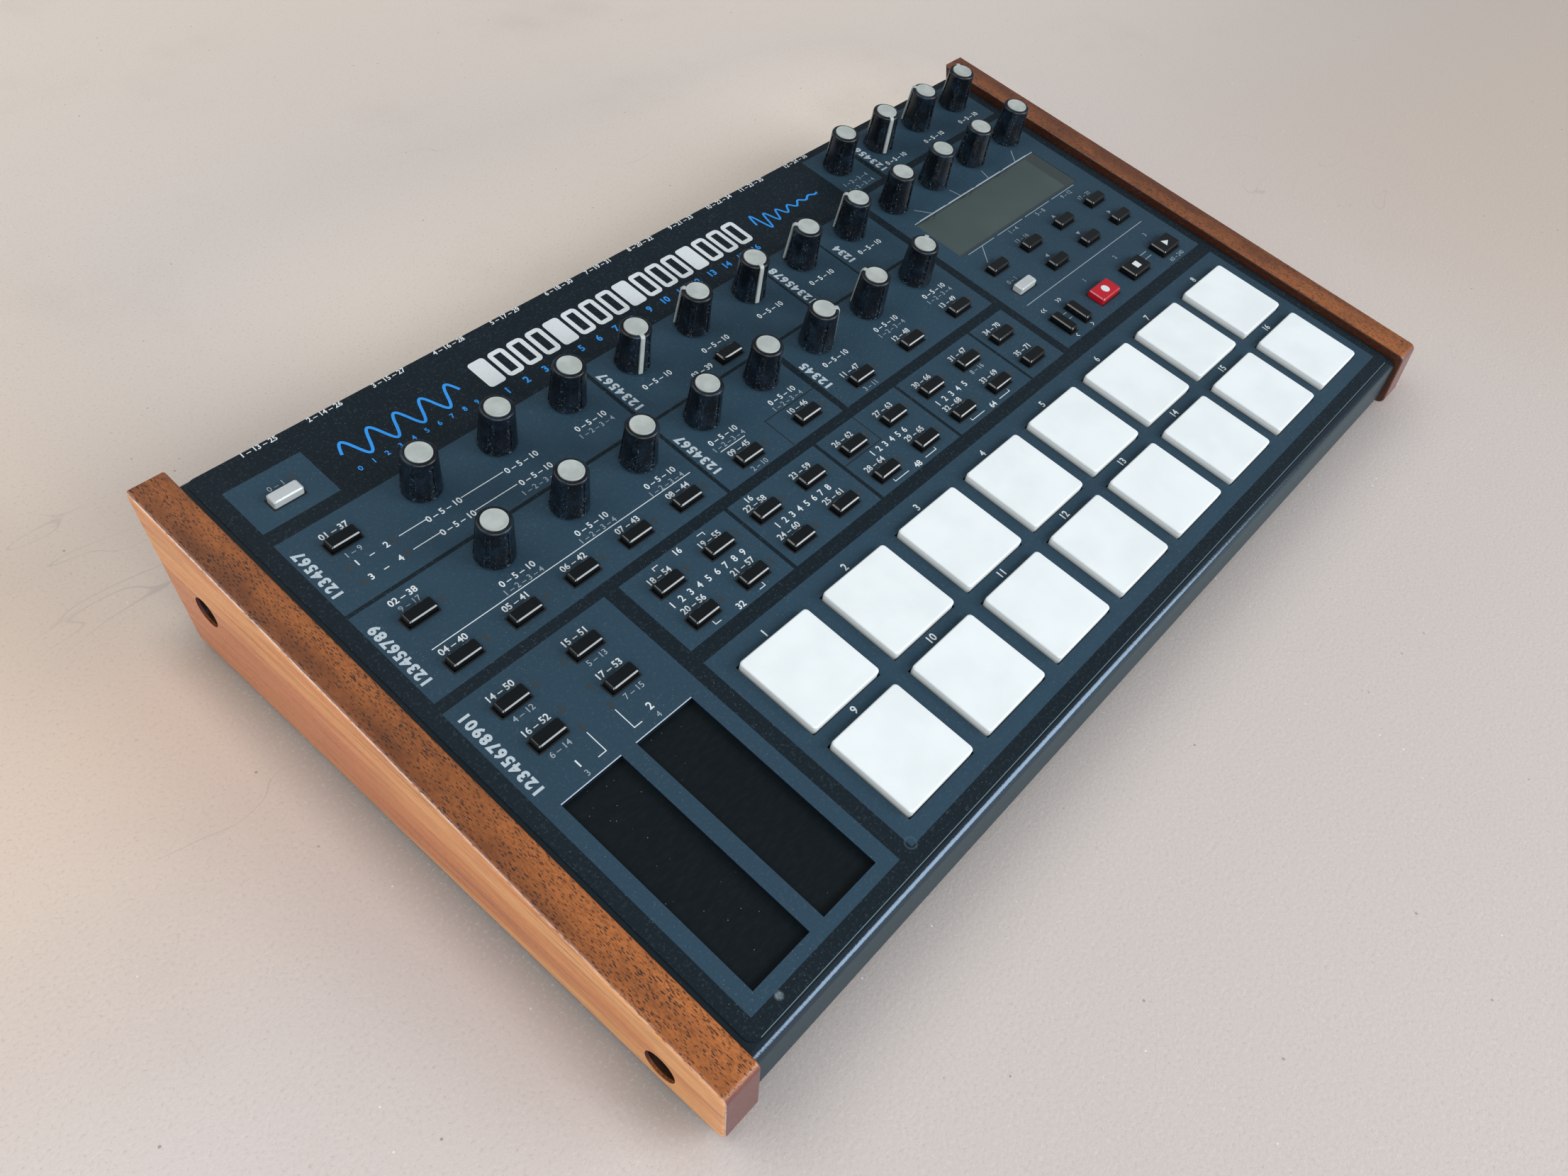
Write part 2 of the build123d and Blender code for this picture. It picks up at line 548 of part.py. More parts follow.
# Sockets behind the wall, drawn up by their nuts, and the switch frame with its pocket
inside = WALL.offset(PAN_SHEET)
with BuildPart() as rear_sockets:
    with BuildSketch(inside):
        with Locations(*[(x, (JACK_LOW + jack_high) / 2) for x in stacked_x]):
            Rectangle(JACK_BODY[0], jack_high - JACK_LOW + 2 * JACK_BODY[1])
        with Locations(*[(x, JACK_LOW) for x in single_x]):
            Rectangle(JACK_BODY[0], 2 * JACK_BODY[1])
        with Locations(*[(x, DATA_H) for x in data_x]):
            Rectangle(data_x[1] - data_x[0] - DATA_GAP, data_x[1] - data_x[0] - DATA_GAP)
    extrude(amount=SOCKET_REACH)
    with BuildSketch(inside):
        with Locations(*jack_at):
            Circle(JACK_THREAD_R)
    extrude(amount=-(PAN_SHEET + JACK_NUT + JACK_THREAD_PROUD))
    with BuildSketch(WALL):
        with Locations(*jack_at):
            RegularPolygon(JACK_NUT_R, 6)
    extrude(amount=-JACK_NUT)
    with BuildSketch(WALL.offset(-JACK_NUT - JACK_THREAD_PROUD)):
        with Locations(*jack_at):
            Circle(JACK_BORE_R)
    extrude(amount=JACK_BORE_DEPTH, mode=Mode.SUBTRACT)
    with BuildSketch(WALL):
        with Locations(*[(x, DATA_H) for x in data_x]):
            Circle(DATA_R)
        with Locations(usb_at):
            Rectangle(*USB_SIZE)
        with Locations(power_at):
            Rectangle(*POWER_SIZE)
        with Locations(switch_at):
            Rectangle(*SWITCH_SIZE)
    extrude(amount=PAN_SHEET)
    with BuildSketch(inside):
        with Locations(usb_at):
            Rectangle(*USB_SIZE)
        with Locations(power_at):
            Rectangle(*POWER_SIZE)
    extrude(amount=SOCKET_REACH)
    with BuildSketch(inside):
        with Locations(switch_at):
            Rectangle(*SWITCH_SIZE)
    extrude(amount=SWITCH_REACH)
    with BuildSketch(WALL):
        with Locations(switch_at):
            Rectangle(SWITCH_SIZE[0] + 2 * SWITCH_BEZEL, SWITCH_SIZE[1] + 2 * SWITCH_BEZEL)
    extrude(amount=-SWITCH_PROUD)
    with BuildSketch(WALL):
        with Locations(*[(x, DATA_H) for x in data_x]):
            Circle(DATA_RING[0])
            Circle(DATA_RING[1], mode=Mode.SUBTRACT)
        with Locations(usb_at):
            Rectangle(*USB_HOLE)
            Rectangle(*USB_TONGUE, mode=Mode.SUBTRACT)
        with Locations(power_at):
            Circle(POWER_HOLE_R)
            Circle(POWER_PIN_R, mode=Mode.SUBTRACT)
    extrude(amount=SOCKET_HOLE, mode=Mode.SUBTRACT)
    with BuildSketch(WALL.offset(-SWITCH_PROUD)):
        with Locations(switch_at):
            Rectangle(POCKET[0], POCKET[1])
    extrude(amount=POCKET[2], mode=Mode.SUBTRACT)
    rocker_seat = Plane(WALL.from_local_coords((*switch_at, 0)), x_dir=WALL.x_dir, z_dir=WALL.y_dir)
    with Locations(rocker_seat):
        Cylinder(PIN_R + PIN_FIT, POCKET[1] + 2 * PIN_REACH[1], mode=Mode.SUBTRACT)
rear_sockets.part.label = "rear_sockets"

# Jack board behind the sockets, and the main board on the pan's standoffs
margin = JACK_BOARD_MARGIN
with BuildPart() as circuit_boards:
    with BuildSketch(WALL.offset(PAN_SHEET + SOCKET_REACH)):
        with BuildLine():
            Polyline(
                (single_x[0] - margin, JACK_LOW - margin),
                (power_at[0] + margin, JACK_LOW - margin),
                (power_at[0] + margin, DATA_H + margin),
                (stacked_x[-1] + margin, DATA_H + margin),
                (stacked_x[-1] + margin, jack_high + JACK_BODY[1]),
                (stacked_x[0] - margin, jack_high + JACK_BODY[1]),
                (stacked_x[0] - margin, JACK_LOW + margin),
                (single_x[0] - margin, JACK_LOW + margin),
                close=True,
            )
        make_face()
    extrude(amount=BOARD)
    with BuildSketch(Plane.XY.offset(MAIN_BOARD_Z)):
        with Locations(main_board_at):
            Rectangle(*main_board)
    extrude(amount=BOARD)
circuit_boards.part.label = "circuit_boards"

# Rocker on two stub pins: one half lies low, the other stands out
rocker_half = POCKET[0] / 2 - ROCKER_GAP[0]
with BuildPart() as rocker:
    with BuildSketch(Plane.XY):
        with BuildLine():
            Polyline(
                (-rocker_half, ROCKER_FACE[0]),
                (0, ROCKER_FACE[1]),
                (rocker_half, ROCKER_FACE[0]),
                (rocker_half - ROCKER_SKIRT[0], -ROCKER_SKIRT[1]),
                (ROCKER_BELLY[0], -ROCKER_BELLY[1]),
                (-ROCKER_BELLY[0], -ROCKER_BELLY[1]),
                (ROCKER_SKIRT[0] - rocker_half, -ROCKER_SKIRT[1]),
                close=True,
            )
        make_face()
    extrude(amount=POCKET[1] / 2 - ROCKER_GAP[1], both=True)
    Cylinder(PIN_R, POCKET[1] + 2 * PIN_REACH[0])
power_rocker = rocker_seat.location * Rot(0, 0, ROCKER_TURN / 2) * rocker.part
power_rocker.label = "power_rocker"

# Pad: a soft-edged cap on a wider foot that the cover holds down
with BuildPart() as pad:
    with BuildSketch(Plane.XY.offset(-foot_top)):
        RectangleRounded(pad_hole - 2 * PAD_GAP, pad_hole - 2 * PAD_GAP, PAD_CORNER)
    extrude(amount=foot_top + PAD_PROUD)
    chamfer(faces().sort_by(Axis.Z)[-1].edges(), PAD_BEVEL)
    with BuildSketch(Plane.XY.offset(-foot_top)):
        Rectangle(pad_hole + 2 * FOOT_REACH, pad_hole + 2 * FOOT_REACH)
    extrude(amount=-PAD_FOOT)

# Knob: a tapered, fluted body on its shaft, with a thin cap disc; the pot's adds a raised pointer
flank = (KNOB_BASE_R - KNOB_TOP_R) / (KNOB_TOP - KNOB_LIFT)
rim_r = KNOB_TOP_R + flank * KNOB_RIM
groove_top = KNOB_TOP - KNOB_RIM - GROOVE_STOP
groove_planes = [Plane.XZ.rotated((0, 0, 360 / GROOVES * (i + 0.5))) for i in range(GROOVES)]
with BuildPart() as knob:
    with BuildSketch(Plane.XZ):
        with BuildLine():
            Polyline(
                (0, MOVE_GAP - POT_TOP),
                (SHAFT_R, MOVE_GAP - POT_TOP),
                (SHAFT_R, KNOB_LIFT),
                (KNOB_BASE_R, KNOB_LIFT),
                (rim_r, KNOB_TOP - KNOB_RIM),
                (KNOB_TOP_R - KNOB_RIM, KNOB_TOP),
                (0, KNOB_TOP),
                close=True,
            )
        make_face()
    revolve(axis=Axis.Z)
    with BuildSketch(*groove_planes):
        with BuildLine():
            Polyline(
                (KNOB_BASE_R + flank * PAST - GROOVE_DEPTH, KNOB_LIFT - PAST),
                (KNOB_BASE_R + PAST, KNOB_LIFT - PAST),
                (KNOB_BASE_R + PAST, groove_top),
                (KNOB_TOP_R + flank * (KNOB_TOP - groove_top) - GROOVE_DEPTH, groove_top),
                close=True,
            )
        make_face()
    extrude(amount=GROOVE_WIDTH / 2, both=True, mode=Mode.SUBTRACT)

with BuildPart() as cap:
    with BuildSketch(Plane.XY.offset(KNOB_TOP)):
        Circle(CAP_R)
    extrude(amount=CAP_THICK)

with BuildPart() as pointer:
    with BuildSketch(Plane.XZ):
        with BuildLine():
            Polyline(
                (CAP_R, KNOB_TOP),
                (KNOB_TOP_R - KNOB_RIM, KNOB_TOP),
                (rim_r, KNOB_TOP - KNOB_RIM),
                (KNOB_BASE_R, KNOB_LIFT),
                (KNOB_BASE_R + POINTER_PROUD, KNOB_LIFT),
                (rim_r + POINTER_PROUD, KNOB_TOP - KNOB_RIM + POINTER_BEVEL),
                (KNOB_TOP_R - KNOB_RIM + POINTER_BEVEL, KNOB_TOP + POINTER_PROUD),
                (CAP_R, KNOB_TOP + POINTER_PROUD),
                close=True,
            )
        make_face()
    extrude(amount=POINTER_WIDTH / 2, both=True)

# Keys: bevelled caps over wider feet under the cover, one file for each group that shares a name
keys = {}
for name, sets in key_sets.items():
    with BuildPart() as group:
        for places, size in sets:
            with BuildSketch(PANEL.offset(-foot_top)):
                with Locations(*places):
                    Rectangle(*size)
            extrude(amount=foot_top + KEY_PROUD)
        chamfer(faces().group_by(UPWARD)[-1].edges(), KEY_BEVEL)
        for places, size in sets:
            with BuildSketch(PANEL.offset(-foot_top)):
                with Locations(*places):
                    Rectangle(size[0] + 2 * FOOT_REACH, size[1] + 2 * FOOT_REACH)
            extrude(amount=-KEY_FOOT)
    group.part.label = name
    keys[name] = group.part

# Write the single pieces, then the repeats at their places
fixed = [top_cover, panel_film, bottom_pan, left_cheek, right_cheek, screws, rubber_feet]
fixed += [display_window, touch_strips, control_board, rear_sockets, circuit_boards]
for builder in fixed:
    export_step(builder.part, f"parts/{builder.part.label}.step")
export_step(power_rocker, "parts/power_rocker.step")
for name, group_part in keys.items():
    export_step(group_part, f"parts/{name}.step")
for number, (x, y) in enumerate(pad_at, 1):
    placed = PANEL.location * Pos(x, y, 0) * pad.part
    placed.label = f"pad_{number:02d}"
    export_step(placed, f"parts/{placed.label}.step")
for number, (x, y) in enumerate(encoder_at, 1):
    placed = PANEL.location * Pos(x, y, 0) * Compound([knob.part.solid(), cap.part.solid()])
    placed.label = f"encoder_knob_{number:02d}"
    export_step(placed, f"parts/{placed.label}.step")
for number, ((x, y), turn) in enumerate(zip(pot_at, pot_rest), 1):
    turned = Rot(0, 0, turn) * Compound([knob.part.solid(), cap.part.solid(), pointer.part.solid()])
    placed = PANEL.location * Pos(x, y, 0) * turned
    placed.label = f"pointer_knob_{number:02d}"
    export_step(placed, f"parts/{placed.label}.step")
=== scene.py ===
import math

import bmesh
import bpy
import numpy as np
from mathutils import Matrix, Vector


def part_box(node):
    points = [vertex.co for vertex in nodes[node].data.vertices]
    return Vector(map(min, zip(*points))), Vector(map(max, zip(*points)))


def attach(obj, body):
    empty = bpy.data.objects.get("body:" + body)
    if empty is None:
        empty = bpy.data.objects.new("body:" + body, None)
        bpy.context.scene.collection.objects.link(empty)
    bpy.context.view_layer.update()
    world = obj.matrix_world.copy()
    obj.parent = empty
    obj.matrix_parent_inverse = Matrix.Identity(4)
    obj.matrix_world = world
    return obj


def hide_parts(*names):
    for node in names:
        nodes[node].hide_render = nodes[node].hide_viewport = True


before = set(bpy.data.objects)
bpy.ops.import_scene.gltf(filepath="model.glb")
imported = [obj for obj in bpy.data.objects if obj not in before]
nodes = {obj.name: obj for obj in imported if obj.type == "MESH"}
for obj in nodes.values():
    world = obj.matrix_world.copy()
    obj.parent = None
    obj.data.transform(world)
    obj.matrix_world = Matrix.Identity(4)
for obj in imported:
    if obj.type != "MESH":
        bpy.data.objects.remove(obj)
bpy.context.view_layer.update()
print("frame loaded:", len(nodes), "nodes")

mm = 0.001
toMm = (1000, 1000, 1000)
panel = {
    "tilt": 7.5,  # degrees, the panel falls towards the player
    "frontY": -110.1,  # the film's plane at the front bend, millimetres
    "frontZ": 21.9,
    "firstPad": (-95.0, 27.5),  # middle of the front left pad, where prints are measured from
}
tilt = math.radians(panel["tilt"])
origin = np.array(panel["firstPad"])


def onPanel(points):
    # panel millimetres (across, up the slope, out of the film) into the frame's metres
    p = np.asarray(points, float)
    y = panel["frontY"] + p[..., 1] * math.cos(tilt) - p[..., 2] * math.sin(tilt)
    z = panel["frontZ"] + p[..., 1] * math.sin(tilt) + p[..., 2] * math.cos(tilt)
    return np.stack([p[..., 0], y, z], -1) * mm


def row(start, pitch, steps, *heights):
    # places along a row, or along several rows at once
    return [(start + pitch * i, y) for i in steps for y in heights]


# camera, lamps and sky

camera = {
    "place": (-0.2754, -0.16981, 0.30533),
    "turn": (41.6187, -4.4226, -48.8193),  # degrees about X, Y and Z
    "lens": 28.92,
    "sensor": 36,
    "reach": (0.01, 20),
}
cameraData = bpy.data.cameras.new("camera")
cameraData.lens = camera["lens"]
cameraData.sensor_width = camera["sensor"]
cameraData.clip_start, cameraData.clip_end = camera["reach"]
cameraObject = bpy.data.objects.new("camera", cameraData)
cameraObject.location = camera["place"]
cameraObject.rotation_euler = [math.radians(angle) for angle in camera["turn"]]
bpy.context.scene.collection.objects.link(cameraObject)
bpy.context.scene.camera = cameraObject
bpy.context.scene.view_settings.view_transform = "Standard"

lamps = {
    # name: (place, size, power in watts, colour); each one looks at the origin
    "window": ((-0.9, -1.4, 1.0), (1.6, 1.0), 22, (0.94, 0.97, 1.0)),
    "ceiling": ((-0.8, 0.7, 1.4), (1.6, 1.2), 13, (1.0, 0.97, 0.93)),
    "wide": ((1.0, -1.66, 0.85), (1.3, 1.2), 34, (0.92, 0.96, 1.0)),
}
for name, (place, size, power, colour) in lamps.items():
    lampData = bpy.data.lights.new(name, "AREA")
    lampData.shape = "RECTANGLE"
    lampData.size, lampData.size_y = size
    lampData.energy = power
    lampData.color = colour
    lamp = bpy.data.objects.new(name, lampData)
    lamp.location = place
    lamp.rotation_euler = (-Vector(place)).to_track_quat("-Z", "Y").to_euler()
    bpy.context.scene.collection.objects.link(lamp)

sky = {"colour": (0.86, 0.9, 0.95, 1), "strength": 0.31}
world = bpy.data.worlds.new("world")
bpy.context.scene.world = world
world.use_nodes = True
background = world.node_tree.nodes["Background"]
background.inputs["Color"].default_value = sky["colour"]
background.inputs["Strength"].default_value = sky["strength"]
print("camera and lamps set")


# shader maths

class Wire:
    # a socket that takes part in arithmetic: each operator adds one Math node
    def __init__(self, paint, socket):
        self.paint, self.socket = paint, socket

    def math(self, operation, *others, back=False):
        values = [self, *others]
        if back:
            values.reverse()
        return self.paint.node("ShaderNodeMath", {"operation": operation}, dict(enumerate(values)))

    def __add__(self, other):
        return self.math("ADD", other)

    def __sub__(self, other):
        return self.math("SUBTRACT", other)

    def __rsub__(self, other):
        return self.math("SUBTRACT", other, back=True)

    def __mul__(self, other):
        return self.math("MULTIPLY", other)

    def __abs__(self):
        return self.math("ABSOLUTE")

    def __gt__(self, other):
        return self.math("GREATER_THAN", other)

    def __lt__(self, other):
        return self.math("LESS_THAN", other)

    __radd__ = __add__
    __rmul__ = __mul__

    def over(self, other):
        return self.math("MAXIMUM", other)

    def under(self, other):
        return self.math("MINIMUM", other)

    def ramp(self, low, high):
        # 0 at low, 1 at high, smooth in between
        smooth = {"interpolation_type": "SMOOTHSTEP"}
        return self.paint.node("ShaderNodeMapRange", smooth, {0: self, 1: low, 2: high})


def distance(besideU, besideV):
    # from a place, for what lies that far beside it along two axes
    return (besideU * besideU + besideV * besideV).math("SQRT")


def linear(red, green, blue):
    # 0 to 255 as on a screen, into the shader's linear values
    c = np.array([red, green, blue], float) / 255
    c = np.where(c <= 0.04045, c / 12.92, ((c + 0.055) / 1.055) ** 2.4)
    return (*c.tolist(), 1.0)


class Paint:
    # one material being mixed
    def __init__(self, name):
        self.material = bpy.data.materials.new(name)
        self.material.use_nodes = True
        self.tree = self.material.node_tree
        self.tree.nodes.clear()
        self.object = self.node("ShaderNodeTexCoord", out="Object")

    def node(self, kind, settings=None, inputs=None, out=0):
        made = self.tree.nodes.new(kind)
        for key, value in (settings or {}).items():
            setattr(made, key, value)
        for key, value in (inputs or {}).items():
            if isinstance(value, Wire):
                self.tree.links.new(value.socket, made.inputs[key])
            else:
                made.inputs[key].default_value = value
        return Wire(self, made.outputs[out])

    def placed(self, scale=(1, 1, 1), turn=(0, 0, 0), move=(0, 0, 0)):
        # object coordinates, scaled, then turned, then moved
        inputs = {"Vector": self.object, "Scale": scale, "Rotation": turn, "Location": move}
        return self.node("ShaderNodeMapping", None, inputs)

    def noise(self, vector, scale, detail=2.0, roughness=0.5, distortion=0.0):
        # scale: repeats per unit of the vector; detail: finer layers; roughness: how strong those are
        inputs = {"Vector": vector, "Scale": scale, "Detail": detail}
        inputs.update({"Roughness": roughness, "Distortion": distortion})
        return self.node("ShaderNodeTexNoise", None, inputs)

    def spots(self, vector, scale):
        # distance to the nearest of scattered points
        return self.node("ShaderNodeTexVoronoi", None, {"Vector": vector, "Scale": scale})

    def dust(self, scale, share):
        # fine specks: scattered points, so many per metre, each reaching over a share of the way to the next,
        # kept where a slow noise is high
        point = self.spots(self.object, scale)
        patchy = self.noise(self.object, scale * 0.06)
        return (point < share) * patchy.ramp(0.42, 0.62)

    def parts(self, vector):
        split = self.node("ShaderNodeSeparateXYZ", None, {0: vector}).socket.node
        return [Wire(self, socket) for socket in split.outputs]

    def facing(self):
        # the surface's normal: to the side, forward, up
        return self.parts(self.node("ShaderNodeNewGeometry", out="Normal"))

    def panelPlace(self):
        # panel millimetres: across, up the slope, out of the film; what onPanel does, undone
        sine, cosine = math.sin(tilt), math.cos(tilt)
        frontY, frontZ = panel["frontY"], panel["frontZ"]
        back = (0, -(frontY * cosine + frontZ * sine), frontY * sine - frontZ * cosine)
        return self.parts(self.placed(toMm, (-tilt, 0, 0), back))

    def mix(self, low, high, factor):
        return self.node("ShaderNodeMix", {"data_type": "RGBA"}, {0: factor, 6: low, 7: high}, out=2)

    def shade(self, colour, roughness, bump=None, depth=0.0001, **constants):
        # depth is in metres; constants are further sockets, their names written with underscores
        inputs = {"Base Color": colour, "Roughness": roughness}
        inputs.update({key.replace("_", " "): value for key, value in constants.items()})
        if bump is not None:
            relief = {"Height": bump, "Distance": depth, "Strength": 1.0}
            inputs["Normal"] = self.node("ShaderNodeBump", None, relief)
        shader = self.node("ShaderNodeBsdfPrincipled", None, inputs)
        end = self.tree.nodes.new("ShaderNodeOutputMaterial")
        self.tree.links.new(shader.socket, end.inputs["Surface"])
        return self.material


# floor

floor = {
    "half": 6,  # metres
    "plain": (linear(203, 194, 190), linear(197, 188, 183)),
    "leftFront": linear(216, 207, 203),
    # painted warm light bounced off the left cheek
    "paintedBounceLeftRear": linear(218, 200, 184),
    "right": linear(194, 179, 165),
    "far": linear(228, 217, 204),
    # painted light that fills in the case's shadow behind it and towards the back right
    "behind": linear(240, 228, 214),
    # painted shade close to the case
    "shade": linear(92, 88, 84),
    "blotch": linear(192, 180, 171),
    "grain": (linear(222, 214, 206), linear(170, 160, 152)),
    "pit": linear(120, 110, 104),
    "fleck": linear(240, 236, 230),
    "scratch": linear(176, 166, 160),
    "caseHalf": (0.1955, 0.113),  # the case's outline, metres
}


def floorPaint():
    # pale plaster: slow clouds, fine grain, pits, flecks and hairline scratches. Its colour goes by the
    # place: cool at the left front, duller at the right and paler far off. Warm light bounced off the left
    # cheek is painted at the left rear; painted light in a strip behind the case and towards the back right
    # fills in the shadow there; close to the case a painted shade darkens it, by ramps over the distance
    # past the outline
    paint = Paint("floor_plaster")
    cloud = paint.noise(paint.object, 1.6, 3, 0.5)
    blotch = paint.noise(paint.object, 9, 4, 0.6)
    grain = paint.noise(paint.object, 900, 4, 0.7)
    across, along = paint.parts(paint.object)[:2]
    leftFront = (1 - across.ramp(-0.33, -0.22)) * (1 - along.ramp(-0.08, 0.08))
    # painted warm light bounced off the left cheek, left of the case towards the back
    paintedBounceLeftRear = (1 - across.ramp(-0.25, -0.1)) * along.ramp(-0.04, 0.1)
    right = across.ramp(0.16, 0.4) * (1 - along.ramp(-0.15, 0.25))
    # painted light: a paler strip behind the case and a wide patch towards the back right, filling in the
    # shadow
    behind = along.ramp(0.1, 0.14) * (1 - along.ramp(0.16, 0.3))
    behind = behind * across.ramp(-0.2, -0.05) * (1 - across.ramp(0.2, 0.34))
    paintedFillRightRear = along.ramp(0.0, 0.3) * across.ramp(-0.05, 0.4)
    colour = paint.mix(*floor["plain"], cloud.ramp(0.35, 0.65))
    colour = paint.mix(colour, floor["leftFront"], leftFront)
    colour = paint.mix(colour, floor["paintedBounceLeftRear"], paintedBounceLeftRear)
    colour = paint.mix(colour, floor["right"], right * 0.8)
    colour = paint.mix(colour, floor["far"], along.ramp(0.1, 0.6))
    colour = paint.mix(colour, floor["behind"], (paintedFillRightRear * 0.45).over(behind * 0.85))
    halfX, halfY = floor["caseHalf"]
    beside, before = abs(across) - halfX, abs(along) - halfY
    # painted shade: darker along the case's sides, and faintly before its front and behind its back
    closeShade = (1 - beside.ramp(-0.002, 0.018)) * (1 - before.ramp(-0.02, 0.008))
    wide = (1 - before.ramp(0, 0.03)) * (1 - beside.ramp(-0.02, 0.012))
    colour = paint.mix(colour, floor["shade"], (closeShade * 0.6).over(wide * 0.16))
    colour = paint.mix(colour, floor["blotch"], blotch.ramp(0.5, 0.8) * 0.35)
    paleGrain, darkGrain = floor["grain"]
    colour = paint.mix(colour, paleGrain, grain.ramp(0.5, 0.8) * 0.4)
    colour = paint.mix(colour, darkGrain, (1 - grain.ramp(0.3, 0.46)) * 0.4)
    pit = (paint.spots(paint.object, 120) < 0.05) * paint.noise(paint.object, 40, 2).ramp(0.5, 0.6)
    fleck = paint.spots(paint.placed((150, 150, 150), (0, 0, 1)), 1.0) < 0.045
    fleck = fleck * paint.noise(paint.object, 23, 2).ramp(0.5, 0.6)
    colour = paint.mix(colour, floor["pit"], pit * 0.6)
    colour = paint.mix(colour, floor["fleck"], fleck * 0.7)
    vein = paint.noise(paint.placed((7, 26, 1), (0, 0, 0.6)), 1, 2, 0.5)
    scratch = 1 - abs(vein - 0.5).ramp(0.0, 0.0016)
    marked = scratch * paint.noise(paint.object, 5, 2).ramp(0.56, 0.62)
    colour = paint.mix(colour, floor["scratch"], marked * 0.5)
    return paint.shade(colour, 0.62, grain, depth=0.00012, Specular_IOR_Level=0.3)


half = floor["half"]
floorCorners = [(-half, -half, 0), (half, -half, 0), (half, half, 0), (-half, half, 0)]
floorMesh = bpy.data.meshes.new("floor")
floorMesh.from_pydata(floorCorners, [], [(0, 1, 2, 3)])
floorObject = bpy.data.objects.new("floor", floorMesh)
floorMesh.materials.append(floorPaint())
bpy.context.scene.collection.objects.link(floorObject)
print("floor made")


# mesh helpers

def ringFaces(rows, columns):
    # quads between rows of points that each close on themselves
    r, c = np.meshgrid(np.arange(rows - 1), np.arange(columns), indexing="ij")
    a = r * columns + c
    b = r * columns + (c + 1) % columns
    return np.stack([a, b, b + columns, a + columns], -1).reshape(-1, 4).tolist()


def stackRings(rings):
    # rings: rows x columns x 3, lowest first, counterclockwise seen from above; both ends closed by one face
    rows, columns = rings.shape[:2]
    faces = ringFaces(rows, columns)
    faces.append(list(range(columns))[::-1])
    faces.append([(rows - 1) * columns + i for i in range(columns)])
    return rings.reshape(-1, 3), faces


def turnedRings(profile, angles):
    # a profile of (radius, height) carried round the upright axis; a radius may vary with the angle
    cosines, sines = np.cos(angles), np.sin(angles)
    return np.stack([np.stack([r * cosines, r * sines, np.full(len(angles), z)], -1) for r, z in profile])


def joinShapes(shapes):
    # several (points, faces) into one
    points, faces, start = [], [], 0
    for p, f in shapes:
        points.append(p)
        faces += [[i + start for i in face] for face in f]
        start += len(p)
    return np.concatenate(points), faces


def turned(points, degrees):
    # about the upright axis
    cosine, sine = math.cos(math.radians(degrees)), math.sin(math.radians(degrees))
    x, y, z = points.T
    return np.stack([x * cosine - y * sine, x * sine + y * cosine, z], -1)


def roundedOutline(width, height, corner, steps=4):
    # a rectangle's outline with quarter-circle corners, counterclockwise
    quarter = np.linspace(0, np.pi / 2, steps + 1)
    points = []
    for index, (sx, sy) in enumerate(((1, -1), (1, 1), (-1, 1), (-1, -1))):
        angle = quarter + (index - 1) * np.pi / 2
        x = sx * (width / 2 - corner) + corner * np.cos(angle)
        y = sy * (height / 2 - corner) + corner * np.sin(angle)
        points.append(np.stack([x, y], -1))
    return np.concatenate(points)


def restNormals(mesh, limit):
    # each corner's normal: a sum over the faces round its point that bend by less than the limit (in degrees)
    # from its own face, weighed by their areas, so that flat faces shade flat and rounds shade smoothly
    corners, flats = len(mesh.loops), len(mesh.polygons)
    point, sides = np.empty(corners, int), np.empty(flats, int)
    normal, area = np.empty(flats * 3), np.empty(flats)
    mesh.loops.foreach_get("vertex_index", point)
    mesh.polygons.foreach_get("loop_total", sides)
    mesh.polygons.foreach_get("normal", normal)
    mesh.polygons.foreach_get("area", area)
    normal = normal.reshape(-1, 3)
    face = np.repeat(np.arange(flats), sides)
    fan = np.bincount(point)
    order, start = np.argsort(point, kind="stable"), np.cumsum(fan) - fan
    each = fan[point]
    mine = np.repeat(np.arange(corners), each)
    step = np.arange(each.sum()) - np.repeat(np.cumsum(each) - each, each)
    other = face[order[start[point[mine]] + step]]
    kept = (normal[face[mine]] * normal[other]).sum(1) > math.cos(math.radians(limit))
    total = np.zeros((corners, 3))
    np.add.at(total, mine[kept], normal[other[kept]] * area[other[kept], None])
    total /= np.linalg.norm(total, axis=1)[:, None]
    mesh.shade_smooth()
    mesh.normals_split_custom_set(total.tolist())


def makePiece(name, points, faces, material, body, smooth, replaces=(), dusty=None):
    # points in the frame's metres; smooth is the limit for restNormals, 0 for flat print; dusty holds how
    # much dust each point catches, from 0 to 1
    mesh = bpy.data.meshes.new(name)
    mesh.from_pydata(np.asarray(points).tolist(), [], faces)
    if dusty is not None:
        mesh.attributes.new("dusty", "FLOAT", "POINT").data.foreach_set("value", dusty)
    mesh.materials.append(material)
    if smooth:
        restNormals(mesh, smooth)
    piece = bpy.data.objects.new(name, mesh)
    bpy.context.scene.collection.objects.link(piece)
    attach(piece, body)
    if replaces:
        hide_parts(*replaces)


mergeWithin = 2e-6  # metres


def smoothCopy(name, material, body, smooth=28):
    # a CAD node's mesh with its loose triangles joined, so that its rounds shade smoothly
    mesh = nodes[name].data.copy()
    mesh.materials.clear()
    mesh.materials.append(material)
    work = bmesh.new()
    work.from_mesh(mesh)
    bmesh.ops.remove_doubles(work, verts=work.verts, dist=mergeWithin)
    work.to_mesh(mesh)
    work.free()
    restNormals(mesh, smooth)
    piece = bpy.data.objects.new(name + "_finished", mesh)
    bpy.context.scene.collection.objects.link(piece)
    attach(piece, body)
    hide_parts(name)


def paintNode(name, material):
    # a CAD node that keeps its own mesh
    nodes[name].data.materials.clear()
    nodes[name].data.materials.append(material)


# the film: printed blocks, fine orange peel, dust

